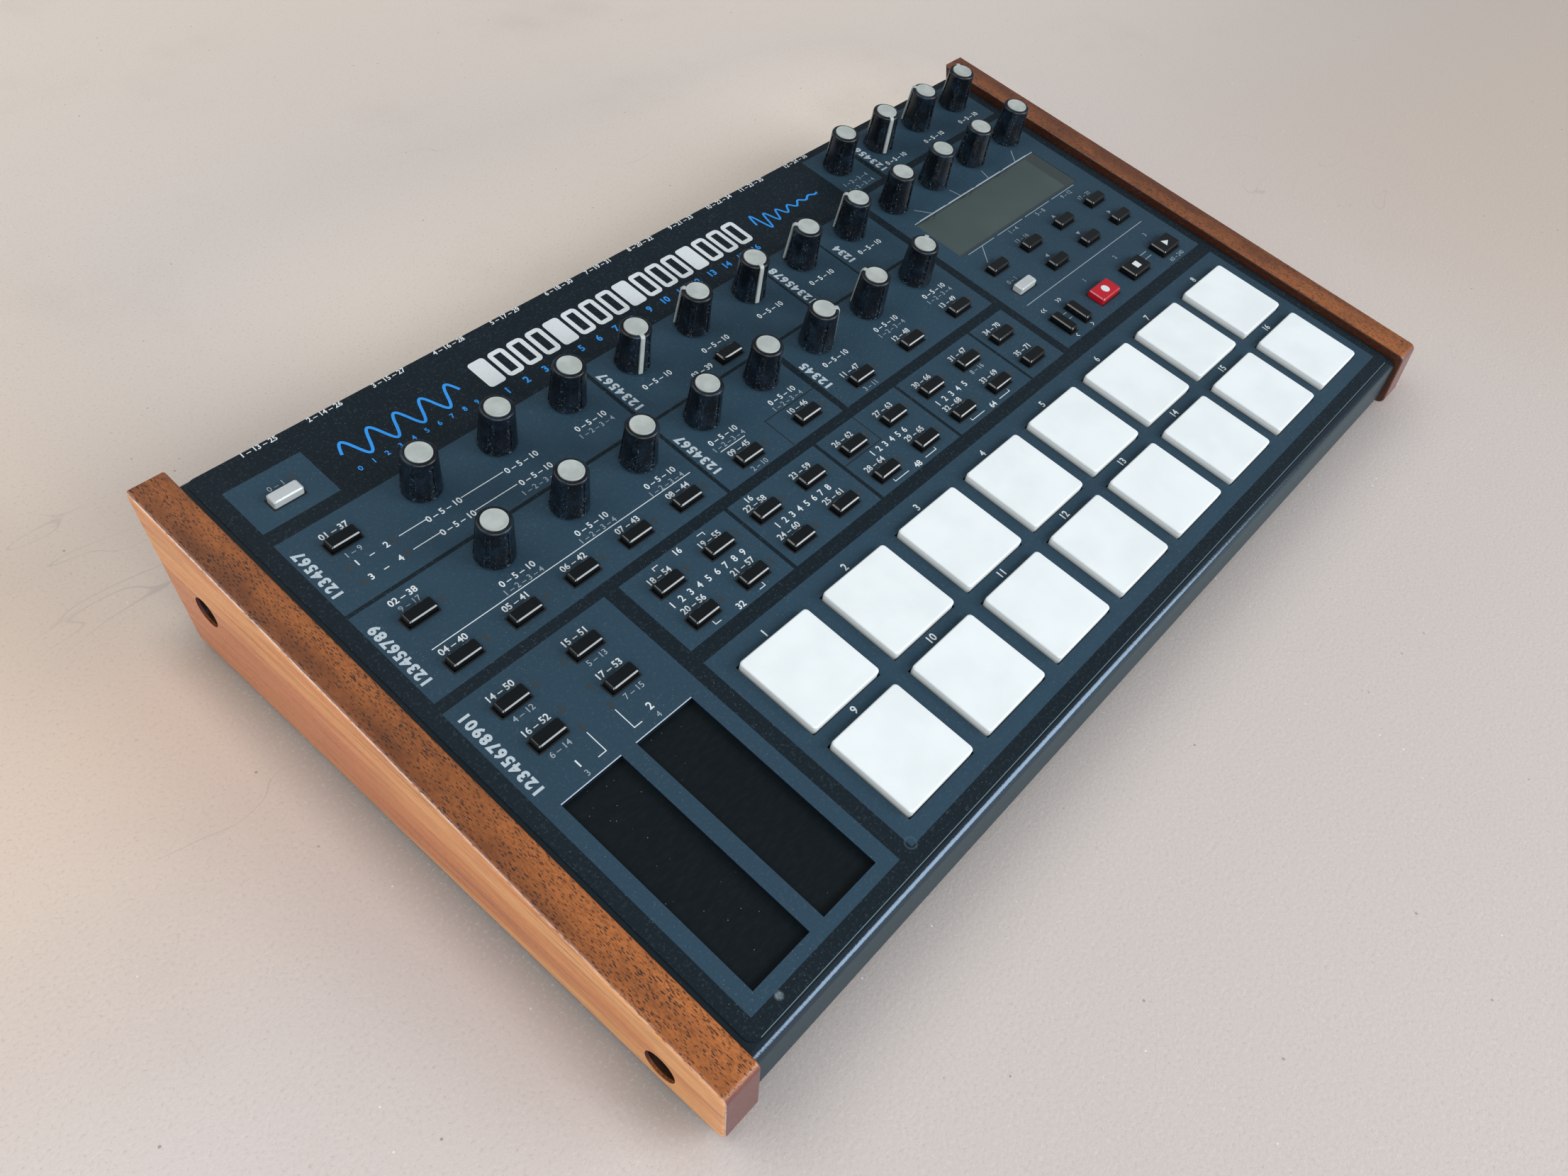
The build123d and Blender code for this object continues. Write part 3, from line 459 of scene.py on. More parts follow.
film = {
    "black": linear(13, 26, 33),
    "blue": linear(41, 64, 79),
    "haze": linear(24, 34, 44),
    "peel": linear(92, 106, 118),
    "speck": linear(170, 178, 180),
    "blocks": [
        # left, right, near, far, from the first pad's middle
        (-80.9, -55.7, 164.9, 183.7),
        (-81.2, 29.7, 129.1, 159.8),
        (-81.2, 29.6, 92.8, 127.8),
        (31.0, 85.0, 92.8, 127.8),
        (87.7, 171.2, 92.8, 127.8),
        (31.2, 113.9, 129.0, 159.8),
        (115.0, 142.3, 129.0, 159.8),
        (143.2, 171.2, 129.0, 159.8),
        (175.0, 195.3, 165.1, 190.2),
        (197.8, 272.5, 165.1, 190.2),
        (175.0, 272.5, 60.7, 162.0),
        (-81.7, -25.2, -19.7, 89.1),
        (-19.9, 23.7, 60.1, 88.9),
        (25.1, 65.3, 60.1, 88.9),
        (66.7, 107.4, 60.1, 88.9),
        (108.7, 150.2, 60.1, 88.9),
        (151.4, 171.2, 60.1, 88.9),
        (-20.1, 272.5, -19.7, 55.2),
    ],
    "fastener": (-19.5, -18.8),  # its head shows as a faint ring through the film
    "fastenerRing": 1.6,
    "fastenerTone": linear(70, 86, 100),
    "smudge": (-73.2, -20.9),
    "smudgeSize": 1.5,
    "smudgeTone": linear(120, 132, 138),
    "edgeLine": 0.2,  # light cut edge along the front
    "edgeEnd": 3,  # how far the edge line stops short of the film's corners
    "inset": 0.03,  # between the film's edge and the edge line
}


def filmPaint():
    # a place is inside a block where the farther of its two distances past the block's edges is below 0
    paint = Paint("printed_film")
    across, along, out = paint.panelPlace()
    originX, originY = panel["firstPad"]
    inside = None
    for left, right, near, far in film["blocks"]:
        besideX = abs(across - ((left + right) / 2 + originX)) - (right - left) / 2
        besideY = abs(along - ((near + far) / 2 + originY)) - (far - near) / 2
        past = besideX.over(besideY)
        inside = past if inside is None else inside.under(past)
    block = inside < 0.0
    top = out > -0.05
    fromFastener, fromSmudge = [
        distance(across - (u + originX), along - (v + originY)) for u, v in (film["fastener"], film["smudge"])
    ]
    ring = 1 - abs(fromFastener - film["fastenerRing"]).ramp(0.1, 0.45)
    powder = paint.noise(paint.object, 1300, 3, 0.7)
    smudge = (1 - fromSmudge.ramp(film["smudgeSize"] * 0.4, film["smudgeSize"])) * powder.ramp(0.3, 0.65)
    peel = paint.noise(paint.object, 1150, 3, 0.65)
    cloud = paint.noise(paint.object, 14, 3, 0.5)
    speck = paint.dust(900, 0.08)
    colour = paint.mix(film["black"], film["blue"], block * top)
    colour = paint.mix(colour, film["fastenerTone"], ring * 0.4)
    colour = paint.mix(colour, film["smudgeTone"], smudge * 0.75)
    colour = paint.mix(colour, film["haze"], cloud.ramp(0.35, 0.75) * 0.18)
    colour = paint.mix(colour, film["peel"], peel.ramp(0.52, 0.74) * 0.17)
    colour = paint.mix(colour, film["speck"], speck * 0.45)
    gloss = cloud.ramp(0.2, 0.8) * 0.1 + 0.44
    return paint.shade(colour, gloss, peel, depth=0.0001, Specular_IOR_Level=0.2)


# steel, glass, strips, boards and small parts of the case

steel = {
    "black": (linear(10, 21, 28), linear(18, 31, 39)),
    # the forward side's colour, made metallic: a painted bluish reflection of the window
    "front": linear(64, 75, 86),
    "speck": linear(160, 165, 165),
    # a bluish tint painted into all the cover's reflections
    "tint": (0.82, 0.97, 1, 1),
}


def coverPaint():
    # powder coat: fine bumps over black, a little uneven in gloss. Where the normal leans forward it turns
    # blue grey and metallic: a painted bluish reflection, so that the front face and bend mirror the lamps
    # in a cool tint standing in for the window's light; the specular tint paints a bluish cast into the rest
    # of its reflections too. Hands have polished it along the bend, where the normal leans forward and up
    paint = Paint("powder_coat")
    forward, up = paint.facing()[1:]
    front = (forward * -1).ramp(0.16, 0.3)
    bend = up.ramp(0.25, 0.6) * front
    grain = paint.noise(paint.object, 1100, 3, 0.6)
    cloud = paint.noise(paint.object, 22, 3, 0.5)
    speck = paint.dust(700, 0.05)
    colour = paint.mix(*steel["black"], cloud.ramp(0.35, 0.7) * 0.6)
    colour = paint.mix(colour, steel["speck"], speck * 0.5)
    # painted bluish reflection on the forward-facing side
    colour = paint.mix(colour, steel["front"], front)
    gloss = grain * 0.08 + 0.36 - bend * 0.22
    sheen = {"Specular_IOR_Level": 0.4, "Specular_Tint": steel["tint"], "Metallic": front * 0.9}
    return paint.shade(colour, gloss, grain, depth=0.00003, **sheen)


strips = {"black": (linear(5, 15, 19), linear(13, 24, 28)), "speck": linear(150, 155, 152)}


def stripPaint():
    # smooth black sensor face, lint and fine scuffs
    paint = Paint("touch_strip")
    scuff = paint.noise(paint.placed((300, 900, 300), (0, 0, 0.5)), 1, 4, 0.6)
    grain = paint.noise(paint.object, 1900, 2, 0.6)
    speck = paint.dust(420, 0.05)
    colour = paint.mix(*strips["black"], scuff.ramp(0.5, 0.8) * 0.5)
    colour = paint.mix(colour, strips["speck"], speck * 0.6)
    return paint.shade(
        colour, scuff.ramp(0.3, 0.7) * 0.1 + 0.42, grain, depth=0.00003, Specular_IOR_Level=0.2,
    )


display = {
    "glass": (linear(54, 67, 66), linear(61, 75, 73)),
    "rim": linear(40, 48, 50),
    "speck": linear(150, 155, 150),
    "rightEnd": 161.2,  # where the lit area ends, panel millimetres
    "middle": 154.8,
    "halfHeight": 10.2,
}


def glassPaint():
    # display window: grey-green behind gloss, darker past the lit area's right end and its two long edges
    paint = Paint("display_glass")
    across, along = paint.panelPlace()[:2]
    cloud = paint.noise(paint.object, 30, 2, 0.5)
    smear = paint.noise(paint.placed((90, 260, 90), (0, 0, 0.4)), 1, 3, 0.6)
    end = across.ramp(display["rightEnd"], display["rightEnd"] + 0.7)
    edge = abs(along - display["middle"]).ramp(display["halfHeight"], display["halfHeight"] + 0.3)
    colour = paint.mix(*display["glass"], cloud.ramp(0.3, 0.7))
    colour = paint.mix(colour, display["rim"], end.over(edge) * 0.75)
    colour = paint.mix(colour, display["speck"], paint.dust(500, 0.05) * 0.4)
    coat = {"Specular_IOR_Level": 0.5, "Coat_Weight": 0.3, "Coat_Roughness": 0.05}
    return paint.shade(colour, smear.ramp(0.4, 0.8) * 0.08 + 0.1, **coat)


rubber = (linear(24, 25, 26), linear(44, 44, 43))
screwSteel = (linear(30, 28, 27), linear(92, 84, 74))
laminate = {"green": (linear(20, 62, 44), linear(34, 88, 60)), "copper": linear(186, 160, 92)}


def rubberPaint():
    # black rubber with a coarse matt grain
    paint = Paint("foot_rubber")
    grain = paint.noise(paint.object, 900, 3, 0.6)
    return paint.shade(paint.mix(*rubber, grain.ramp(0.4, 0.75)), grain * 0.15 + 0.62, grain, depth=0.0001)


def screwPaint():
    # blackened steel, brighter where a driver has rubbed it
    paint = Paint("screw_steel")
    fine = paint.noise(paint.object, 1500, 3, 0.6)
    colour = paint.mix(*screwSteel, fine.ramp(0.58, 0.82))
    return paint.shade(colour, fine * 0.2 + 0.3, fine, depth=0.00004, Metallic=0.7)


def boardPaint():
    # green laminate with a faint weave and copper pads
    paint = Paint("board_laminate")
    weave = paint.noise(paint.placed((900, 900, 90)), 1, 2, 0.5)
    colour = paint.mix(*laminate["green"], weave.ramp(0.35, 0.7))
    colour = paint.mix(colour, laminate["copper"], (paint.spots(paint.object, 260) < 0.12) * 0.8)
    return paint.shade(colour, weave * 0.2 + 0.35, weave, depth=0.00005)


# wood of the cheeks

wood = {
    "grainTilt": 1.5,  # degrees that the grain rises towards the back
    "grainTurn": 13.0,  # degrees that it runs out sideways, as the top shows
    "light": linear(244, 175, 110),
    "mid": linear(228, 148, 86),
    "rosy": linear(200, 116, 78),
    "dark": linear(136, 78, 44),
    "topLight": linear(176, 105, 54),
    "topDark": linear(94, 51, 26),
    "pore": linear(34, 17, 12),
    "end": linear(94, 57, 60),
    # the outer edge: rubbed wear and a painted highlight
    "edge": linear(246, 218, 204),
    # painted shade on the inward faces
    "inner": linear(52, 26, 18),
    # the counterbores: dark stain and painted shade
    "hole": linear(22, 14, 11),
    "poreField": (0.44, 2.5),  # millimetres between pores, across and along
    "holes": [(-91.6, 10.0), (86.6, 25.7)],  # middles of the counterbores, along and up, millimetres
    "holeRadius": 5.05,  # a hair over the counterbore's
    "innerFace": 183.5,  # millimetres from the middle of the case
    "outerFace": 194.6,  # a hair inside the cheek's own
}


def woodPaint():
    # solid wood: every pattern is stretched along the grain. A pore is dark where the nearest of scattered
    # points, in cells longer than wide, is closer than a limit that a noise varies. Tones go by the face:
    # golden and rosy streaks outside; mottled brown on top, darker outwards and to the back, and darker on
    # the right cheek, which is painted shade; plum at the front end; pale along the outer edge, partly
    # rubbed wear and partly a painted highlight; the inward faces darkened with painted shade; the
    # counterbores dark, partly from stain and partly from painted shade
    paint = Paint("cheek_wood")
    turn = (-math.radians(wood["grainTilt"]), 0, 0)
    topTurn = (0, 0, -math.radians(wood["grainTurn"]))
    wide, long = wood["poreField"]
    figure = paint.noise(paint.placed((60, 9, 130), turn), 1, 3, 0.6, 0.8)
    band = paint.noise(paint.placed((40, 4, 75), turn), 1, 2, 0.5, 0.5)
    streak = paint.noise(paint.placed((300, 14, 620), turn), 1, 3, 0.65, 0.3)
    fibre = paint.noise(paint.placed((1500, 70, 2600), turn), 1, 3, 0.65)
    mottle = paint.noise(paint.placed((170, 48, 170), topTurn), 1, 4, 0.62, 0.3)
    topFibre = paint.noise(paint.placed((2200, 420, 2200), topTurn), 1, 3, 0.7)
    cells = paint.placed((1000 / wide, 1000 / long, 1000 / wide), topTurn)
    limit = paint.noise(paint.placed((160, 70, 160), topTurn), 1, 2, 0.6)
    pore = (limit * 0.32 + 0.12 - paint.spots(cells, 1.0)).ramp(-0.05, 0.04)
    fineCells = paint.placed((1700 / wide, 1500 / long, 1700 / wide), topTurn, (3, 5, 7))
    finePore = (0.2 - paint.spots(fineCells, 1.0)).ramp(-0.08, 0.05) * limit.ramp(0.35, 0.6)
    sideLine = paint.noise(paint.placed((600, 26, 2600), turn, (9, 2, 4)), 1, 2, 0.6).ramp(0.6, 0.7)
    side, forward, up = paint.facing()
    across, along, height = paint.parts(paint.placed(toMm))
    outer = ((across > 0) * 2 - 1) * side
    onSide = outer.ramp(0.5, 0.9)
    top = up.ramp(0.35, 0.9)
    front = (forward * -1).ramp(0.5, 0.95)
    outerTone = paint.mix(wood["mid"], wood["light"], figure.ramp(0.38, 0.58))
    rosy = band.ramp(0.46, 0.62) * (along.ramp(-115, -20) * 0.5 + 0.2)
    outerTone = paint.mix(outerTone, wood["rosy"], rosy)
    outerTone = paint.mix(outerTone, wood["dark"], streak.ramp(0.5, 0.72) * 0.5 + sideLine * 0.5)
    outwards = (abs(across) - wood["innerFace"]).ramp(2, 10)
    depth = mottle.ramp(0.3, 0.72) * 0.34 + 0.1 + outwards * 0.3
    # the right cheek's top is painted darker: painted shade
    depth = depth + along.ramp(-110, 0) * 0.42 - 0.22 + (across > 0) * 0.26
    topTone = paint.mix(wood["topLight"], wood["topDark"], depth)
    topTone = paint.mix(topTone, wood["topDark"], topFibre.ramp(0.42, 0.7) * 0.7)
    colour = paint.mix(topTone, outerTone, onSide)
    colour = paint.mix(colour, wood["end"], front * 0.9)
    colour = paint.mix(colour, wood["dark"], fibre.ramp(0.48, 0.72) * 0.42 * onSide)
    colour = paint.mix(colour, wood["pore"], pore.over(finePore * 0.8) * (top * 0.9) * (1 - front))
    # pale outer edge: partly rubbed wear, partly a painted highlight, stronger towards the back
    wornAndHighlit = (1 - abs(outer - 0.66).ramp(0.05, 0.22)) * (top + front + up.ramp(0.2, 0.5)).ramp(0.05, 0.5)
    broken = paint.noise(paint.placed((700, 240, 700)), 1, 3, 0.65).ramp(0.3, 0.55)
    fades = along.ramp(-100, 60) * 0.4 + 0.4
    colour = paint.mix(colour, wood["edge"], wornAndHighlit * broken * fades)
    # painted shade: the faces that look in towards the case are darkened
    paintedShadeInward = (0 - outer).ramp(0.5, 0.9)
    colour = paint.mix(colour, wood["inner"], paintedShadeInward * 0.9)
    # the counterbores darkened: partly dark stain, partly painted shade in the hollow
    for y, z in wood["holes"]:
        inside = distance(along - y, height - z) < wood["holeRadius"]
        colour = paint.mix(colour, wood["hole"], inside * (abs(across) < wood["outerFace"]) * 0.92)
    relief = fibre * 0.2 - pore * 0.6
    gloss = fibre * 0.12 + 0.26 + pore * 0.2
    coat = {"Specular_IOR_Level": 0.5, "Coat_Weight": wornAndHighlit * 0.3 + 0.12, "Coat_Roughness": 0.18}
    return paint.shade(colour, gloss, relief, depth=0.00007, **coat)


paintNode("panel_film", filmPaint())
paintNode("touch_strips", stripPaint())
paintNode("display_window", glassPaint())
powderCoat = coverPaint()
cheekWood = woodPaint()
board = boardPaint()
smoothCopy("top_cover", powderCoat, "chassis", smooth=26)
smoothCopy("bottom_pan", powderCoat, "chassis", smooth=26)
smoothCopy("left_cheek", cheekWood, "chassis", smooth=40)
smoothCopy("right_cheek", cheekWood, "chassis", smooth=40)
smoothCopy("screws", screwPaint(), "chassis")
smoothCopy("rubber_feet", rubberPaint(), "chassis")
paintNode("control_board", board)
paintNode("circuit_boards", board)
print("case finished")


# pads

pads = {
    "pitch": (35.8, 33.7),
    "size": 28.4,
    "corner": 1.0,
    "top": 2.5,  # above the film
    "edge": 0.55,  # roundness of the top's edge
    "dish": 0.12,  # how far the top sinks in the middle
    "footDepth": 3.9,
    "white": (linear(223, 229, 230), linear(217, 223, 224)),
    "low": linear(150, 146, 132),
    "speck": linear(168, 166, 158),
}
padPitch, rowPitch = pads["pitch"]
padSteps = row(0, padPitch, range(8), rowPitch) + row(0, padPitch, range(8), 0)


def padPaint():
    # silicone: white, a touch warmer and dustier low on the sides, fine matt grain
    paint = Paint("pad_silicone")
    out = paint.panelPlace()[2]
    grain = paint.noise(paint.object, 1700, 3, 0.6)
    cloud = paint.noise(paint.object, 60, 3, 0.5)
    low = 1 - out.ramp(-0.3, 1.5)
    colour = paint.mix(*pads["white"], cloud.ramp(0.35, 0.7))
    colour = paint.mix(colour, pads["low"], low * 0.8)
    colour = paint.mix(colour, pads["speck"], paint.dust(1300, 0.07) * 0.5)
    return paint.shade(colour, grain * 0.1 + 0.5, grain, depth=0.00003, Specular_IOR_Level=0.35)


def padShape():
    # rounded squares, one inside the other: down the side, round a quarter-circle edge, then over a top that
    # dishes by a cosine of the share of the way to the middle
    size, edge, top = pads["size"], pads["edge"], pads["top"]
    rows = [(0.0, -pads["footDepth"]), (0.0, -1.0), (0.0, top - edge)]
    bend = np.linspace(0.2, np.pi / 2, 6)
    rows += [(edge * (1 - math.cos(a)), top - edge + edge * math.sin(a)) for a in bend]
    for share in (0.12, 0.26, 0.42, 0.6, 0.78, 0.92):
        inset = edge + share * (size / 2 - edge)
        rows.append((inset, top - pads["dish"] * (1 - math.cos(share * math.pi)) / 2))
    rings = []
    for inset, w in rows:
        corner = max(pads["corner"] + edge * 0.5 - inset * 0.15, 0.3)
        flat = size - 2 * inset
        outline = roundedOutline(flat, flat, min(corner, flat / 2.1), 5)
        rings.append(np.column_stack([outline, np.full(len(outline), w)]))
    return stackRings(np.stack(rings))


silicone = padPaint()
padPoints, padFaces = padShape()
for number, (u, v) in enumerate(padSteps, 1):
    name = f"pad_{number:02d}"
    points = onPanel(padPoints + (origin[0] + u, origin[1] + v, 0))
    makePiece(name + "_silicone", points, padFaces, silicone, name + "_body", 50, [name])
print("pads made")


# knobs

knobs = {
    "fieldX": -133.2,
    "pitch": 28.05,
    "rows": (147.3, 178.9),
    "screenX": 90.0,
    "screenPitch": 25.45,
    "topRow": 207.5,
    "baseRadius": 6.1,
    "topRadius": 5.2,
    "top": 15.4,
    "lift": 0.6,
    "shoulder": 0.75,
    "grooves": 6,
    "grooveWidth": 1.15,
    "grooveDepth": 0.45,
    "scallop": 0.22,
    "capRadius": 3.9,
    "capThick": 0.35,
    "capSides": 48,
    "shaftRadius": 3.0,
    "shaftEnd": -2.7,
    "pointerWidth": 1.5,
    "pointerProud": 0.35,
    "pointerTurns": [252, 126, 252, 129, 118, -32, 103, 30, 244, 115, 60],  # degrees from the right, at rest
    "black": (linear(4, 10, 17), linear(32, 54, 74)),
    "caught": linear(66, 80, 92),
    "speck": linear(186, 196, 202),
    "cap": (linear(159, 166, 162), linear(172, 179, 175)),
    "capSpeck": linear(120, 122, 116),
}
near, far = knobs["rows"]
field = knobs["fieldX"], knobs["pitch"]
screen = knobs["screenX"], knobs["screenPitch"]
encoderAt = row(*field, range(3), far) + row(*field, range(5), near)
encoderAt += row(*screen, range(1), knobs["topRow"]) + row(*screen, range(4), far)
pointerAt = row(*field, range(3, 8), far) + row(*field, range(5, 8), near)
pointerAt += row(*screen, range(1, 4), knobs["topRow"])


def knobPaint():
    # soft black plastic with dust caught on it, more of it low down and in the grooves
    paint = Paint("knob_black")
    fine = paint.noise(paint.object, 2600, 3, 0.65)
    smear = paint.noise(paint.object, 170, 3, 0.55)
    dusty = paint.node("ShaderNodeAttribute", {"attribute_name": "dusty"}, out="Fac")
    speck = paint.spots(paint.object, 1800) < 0.17
    caught = paint.noise(paint.object, 900, 2, 0.6)
    colour = paint.mix(*knobs["black"], smear.ramp(0.42, 0.75) * 0.4)
    colour = paint.mix(colour, knobs["caught"], dusty * caught.ramp(0.35, 0.7) * 0.3)
    colour = paint.mix(colour, knobs["speck"], speck * (dusty + 0.12) * caught.ramp(0.4, 0.55) * 0.9)
    return paint.shade(colour, fine * 0.14 + 0.25, fine, depth=0.00004, Specular_IOR_Level=0.42)


def capPaint():
    # pale grey plastic with a light mottle and a few dark specks
    paint = Paint("knob_cap_pale")
    fine = paint.noise(paint.object, 1800, 3, 0.6)
    smear = paint.noise(paint.object, 240, 2, 0.5)
    colour = paint.mix(*knobs["cap"], smear.ramp(0.35, 0.7))
    colour = paint.mix(colour, knobs["capSpeck"], paint.dust(1500, 0.06) * 0.5)
    return paint.shade(colour, fine * 0.15 + 0.33, fine, depth=0.00003, Specular_IOR_Level=0.45)


def knobShape():
    # radius = a straight taper, less the grooves (1 across each groove's width, fading out near the top),
    # less a shallow scallop between them (a sine across each span); a quarter circle rounds the shoulder
    base, head, top, lift = knobs["baseRadius"], knobs["topRadius"], knobs["top"], knobs["lift"]
    shaft, cap, shoulder = knobs["shaftRadius"], knobs["capRadius"], knobs["shoulder"]
    count = knobs["grooves"]
    sector = 360 / count
    half = math.degrees(knobs["grooveWidth"] / 2 / ((base + head) / 2))
    wall = half + 0.7  # degrees to where a groove's wall ends
    across = np.array([-wall, -half, -half / 2, 0, half / 2, half, wall])
    inGroove = [0, 1, 1, 1, 1, 1, 0]
    dustAcross = [0.8, 1, 0.6, 0.5, 0.6, 1, 0.8]
    between = np.linspace(wall, sector - wall, 10)[1:-1]
    flat = np.zeros(len(between))
    share = (between - half) / (sector - 2 * half)
    angles = np.concatenate([np.concatenate([across, between]) + sector * (i + 0.5) for i in range(count)])
    angles = np.radians(angles)
    groove = np.tile(np.concatenate([inGroove, flat]), count)
    hollow = np.tile(np.concatenate([np.zeros(len(across)), np.sin(share * np.pi)]), count)
    beside = np.tile(np.concatenate([dustAcross, flat]), count)

    def flank(z):
        return base + (head - base) * (z - lift) / (top - lift)

    # each row: radius, height, how much of the groove and how much of the scallop shows there
    rows = [(shaft, knobs["shaftEnd"], 0, 0), (shaft, lift + 0.05, 0, 0)]
    rows += [(flank(lift) - 0.3, lift, 0, 0), (flank(lift) - 0.05, lift + 0.1, 0.8, 0)]
    full = [(1.0, 1, 0.6), (2.5, 1, 1), (5.5, 1, 1), (8.5, 1, 1), (11.0, 1, 1), (12.4, 1, 0.8)]
    fading = [(13.4, 1, 0.35), (13.9, 1, 0.1), (14.15, 0.45, 0), (14.3, 0, 0), (top - shoulder, 0, 0)]
    rows += [(flank(z), z, grooved, scalloped) for z, grooved, scalloped in full + fading]
    rim = flank(top - shoulder)
    for a in np.linspace(0.3, np.pi / 2, 5):
        rows.append((rim - shoulder * (1 - math.cos(a)), top - shoulder + shoulder * math.sin(a), 0, 0))
    rows += [(cap + 0.12, top - 0.02, 0, 0), (cap + 0.08, top - 0.25, 0, 0)]
    profile, dust = [], []
    for radius, z, grooved, scalloped in rows:
        cut = knobs["grooveDepth"] * groove * grooved + knobs["scallop"] * hollow * scalloped
        profile.append((radius - cut, z))
        dust.append(beside * (0.2 < z < 14.2) + 0.25 * (0.2 < z < 3.0))
    points, faces = stackRings(turnedRings(profile, angles))
    return points, faces, np.concatenate(dust)


def capShape():
    # a disc with a rounded raised rim and a middle that lies a little lower
    radius, top = knobs["capRadius"], knobs["top"]
    high = top + knobs["capThick"]
    profile = [(radius, top - 0.25), (radius, high - 0.15), (radius - 0.05, high - 0.05)]
    profile += [(radius - 0.15, high), (radius - 0.35, high), (radius - 0.5, high - 0.06)]
    profile += [(radius - 0.7, high - 0.09), (radius * 0.5, high - 0.1), (radius * 0.2, high - 0.1)]
    angles = np.linspace(0, 2 * np.pi, knobs["capSides"], endpoint=False)
    return stackRings(turnedRings(profile, angles))


def pointerShape():
    # a strip that runs from the cap over the shoulder and down the flank: its outline in the plane through
    # the axis is given a width, with its long edges eased
    base, head, top, lift = knobs["baseRadius"], knobs["topRadius"], knobs["top"], knobs["lift"]
    cap, proud, half = knobs["capRadius"], knobs["pointerProud"], knobs["pointerWidth"] / 2
    rim = head + (base - head) / (top - lift) * 0.6
    waist, middle = (rim + base) / 2, (top + lift) / 2
    outer = [(cap - 0.1, top + proud), (head - 0.55, top + proud), (head - 0.2, top + proud - 0.12)]
    outer += [(rim + proud - 0.12, top - 0.35), (rim + proud, top - 0.6)]
    outer += [(waist + proud, middle), (base + proud, lift + 0.1)]
    inner = [(cap - 0.1, top - 0.2), (head - 0.8, top - 0.3), (head - 0.6, top - 0.5), (rim - 0.5, top - 0.8)]
    inner += [(rim - 0.4, top - 1.2), (waist - 0.4, middle), (base - 0.4, lift + 0.1)]
    outer, inner = np.array(outer), np.array(inner)
    eased, ease = outer + (inner - outer) * 0.16, half - 0.13
    lanes = [(inner, -half), (eased, -half), (outer, -ease), (outer, ease), (eased, half), (inner, half)]
    rings = [np.stack([lane[:, 0], np.full(len(lane), y), lane[:, 1]], -1) for lane, y in lanes]
    return stackRings(np.stack(rings, 1))  # rows run down the strip, columns round its section


blackPlastic, palePlastic = knobPaint(), capPaint()
gripPoints, gripFaces, gripDust = knobShape()
withPointer = joinShapes([capShape(), pointerShape()])
knobKinds = {
    # node: (places, turns in degrees, what is pale on it)
    "encoder_knob": (encoderAt, [0] * len(encoderAt), capShape()),
    "pointer_knob": (pointerAt, knobs["pointerTurns"], withPointer),
}
for kind, (spots, turns, (palePoints, paleFaces)) in knobKinds.items():
    for number, ((x, y), degrees) in enumerate(zip(spots, turns), 1):
        name = f"{kind}_{number:02d}"
        body = name + "_body"
        grip = onPanel(turned(gripPoints, degrees) + (x, y, 0))
        pale = onPanel(turned(palePoints, degrees) + (x, y, 0))
        makePiece(name + "_grip", grip, gripFaces, blackPlastic, body, 32, [name], gripDust)
        makePiece(name + "_cap", pale, paleFaces, palePlastic, body, 38)
print("knobs made")


# keys

keys = {
    "size": (9.8, 4.2),
    "skipSize": (4.2, 9.8),
    "transportSize": (12.2, 7.2),
    "top": 2.5,
    "bevel": 0.46,  # width and height of the sloping edge round the top
    "ease": 0.1,  # roundness where the bevel starts and ends
    "corner": 0.6,
    "depth": -3.4,
    "keyShade": 0.55,  # width of the painted shade drawn round a key, in place of the shadow in its gap
    "keyShadeShift": (-0.12, -0.12),  # the painted shade shows more to the front left
    "keyShadeCorner": 0.2,
    "edgeX": -161.3,
    "edgePitch": 25.8,
    "edgeRows": (177.4, 144.6),
    "lone": (-21.2, 161.7),
    "editRow": 126.5,
    "editPitch": 21.1,
    "editRight": (-49.2, 28.1),  # start and pitch
    "bank": (-103.6, 21.0),
    "bankRows": (93.8, 107.7),
    "screen": (94.2, 23.03),
    "screenRows": (131.1, 118.4),
    "shiftLeft": (-163.4, 199.9),
    "skip": (89.0, 10.2),
    "transportX": (117.1, 140.4, 163.0),
    "transportRow": 96.7,
    "black": (linear(4, 8, 10), linear(10, 15, 18)),
    "pale": (linear(175, 181, 182), linear(160, 166, 167)),
    "red": (linear(175, 14, 33), linear(150, 12, 29)),
    "speck": linear(190, 194, 194),
}
highScreenRow, lowScreenRow = keys["screenRows"]
editKeys = row(keys["edgeX"], 0, range(1), *keys["edgeRows"]) + [keys["lone"]]
editKeys += row(keys["edgeX"], keys["editPitch"], range(5), keys["editRow"])
editKeys += row(*keys["editRight"], range(5), keys["editRow"])
bankKeys = row(keys["edgeX"], keys["edgePitch"], range(2), *keys["bankRows"])
bankKeys += row(*keys["bank"], range(9), *keys["bankRows"])
screenKeys = row(*keys["screen"], range(4), highScreenRow) + row(*keys["screen"], range(1, 4), lowScreenRow)
skipKeys = row(*keys["skip"], range(2), keys["transportRow"])
shiftKeys = [keys["shiftLeft"], (keys["screen"][0], lowScreenRow)]
recordAt, stopAt, playAt = [(x, keys["transportRow"]) for x in keys["transportX"]]


def keyPaint(name, base, worn, gloss, shine=0.6):
    # moulded gloss plastic: fine ripple, finger wear that dulls it in patches; the sloping edges, whose
    # normals lie halfway up, are glossier
    paint = Paint(name)
    up = paint.facing()[2]
    slope = up.ramp(0.3, 0.5) * (1 - up.ramp(0.86, 0.96))
    ripple = paint.noise(paint.object, 420, 2, 0.5)
    wear = paint.noise(paint.object, 160, 3, 0.6)
    colour = paint.mix(base, worn, wear.ramp(0.45, 0.75) * 0.5)
    colour = paint.mix(colour, keys["speck"], paint.dust(1700, 0.05) * 0.35)
    coat = {"Specular_IOR_Level": shine, "Coat_Weight": slope, "Coat_Roughness": 0.06}
    return paint.shade(colour, wear.ramp(0.3, 0.8) * 0.1 + gloss, ripple, depth=0.00002, **coat)


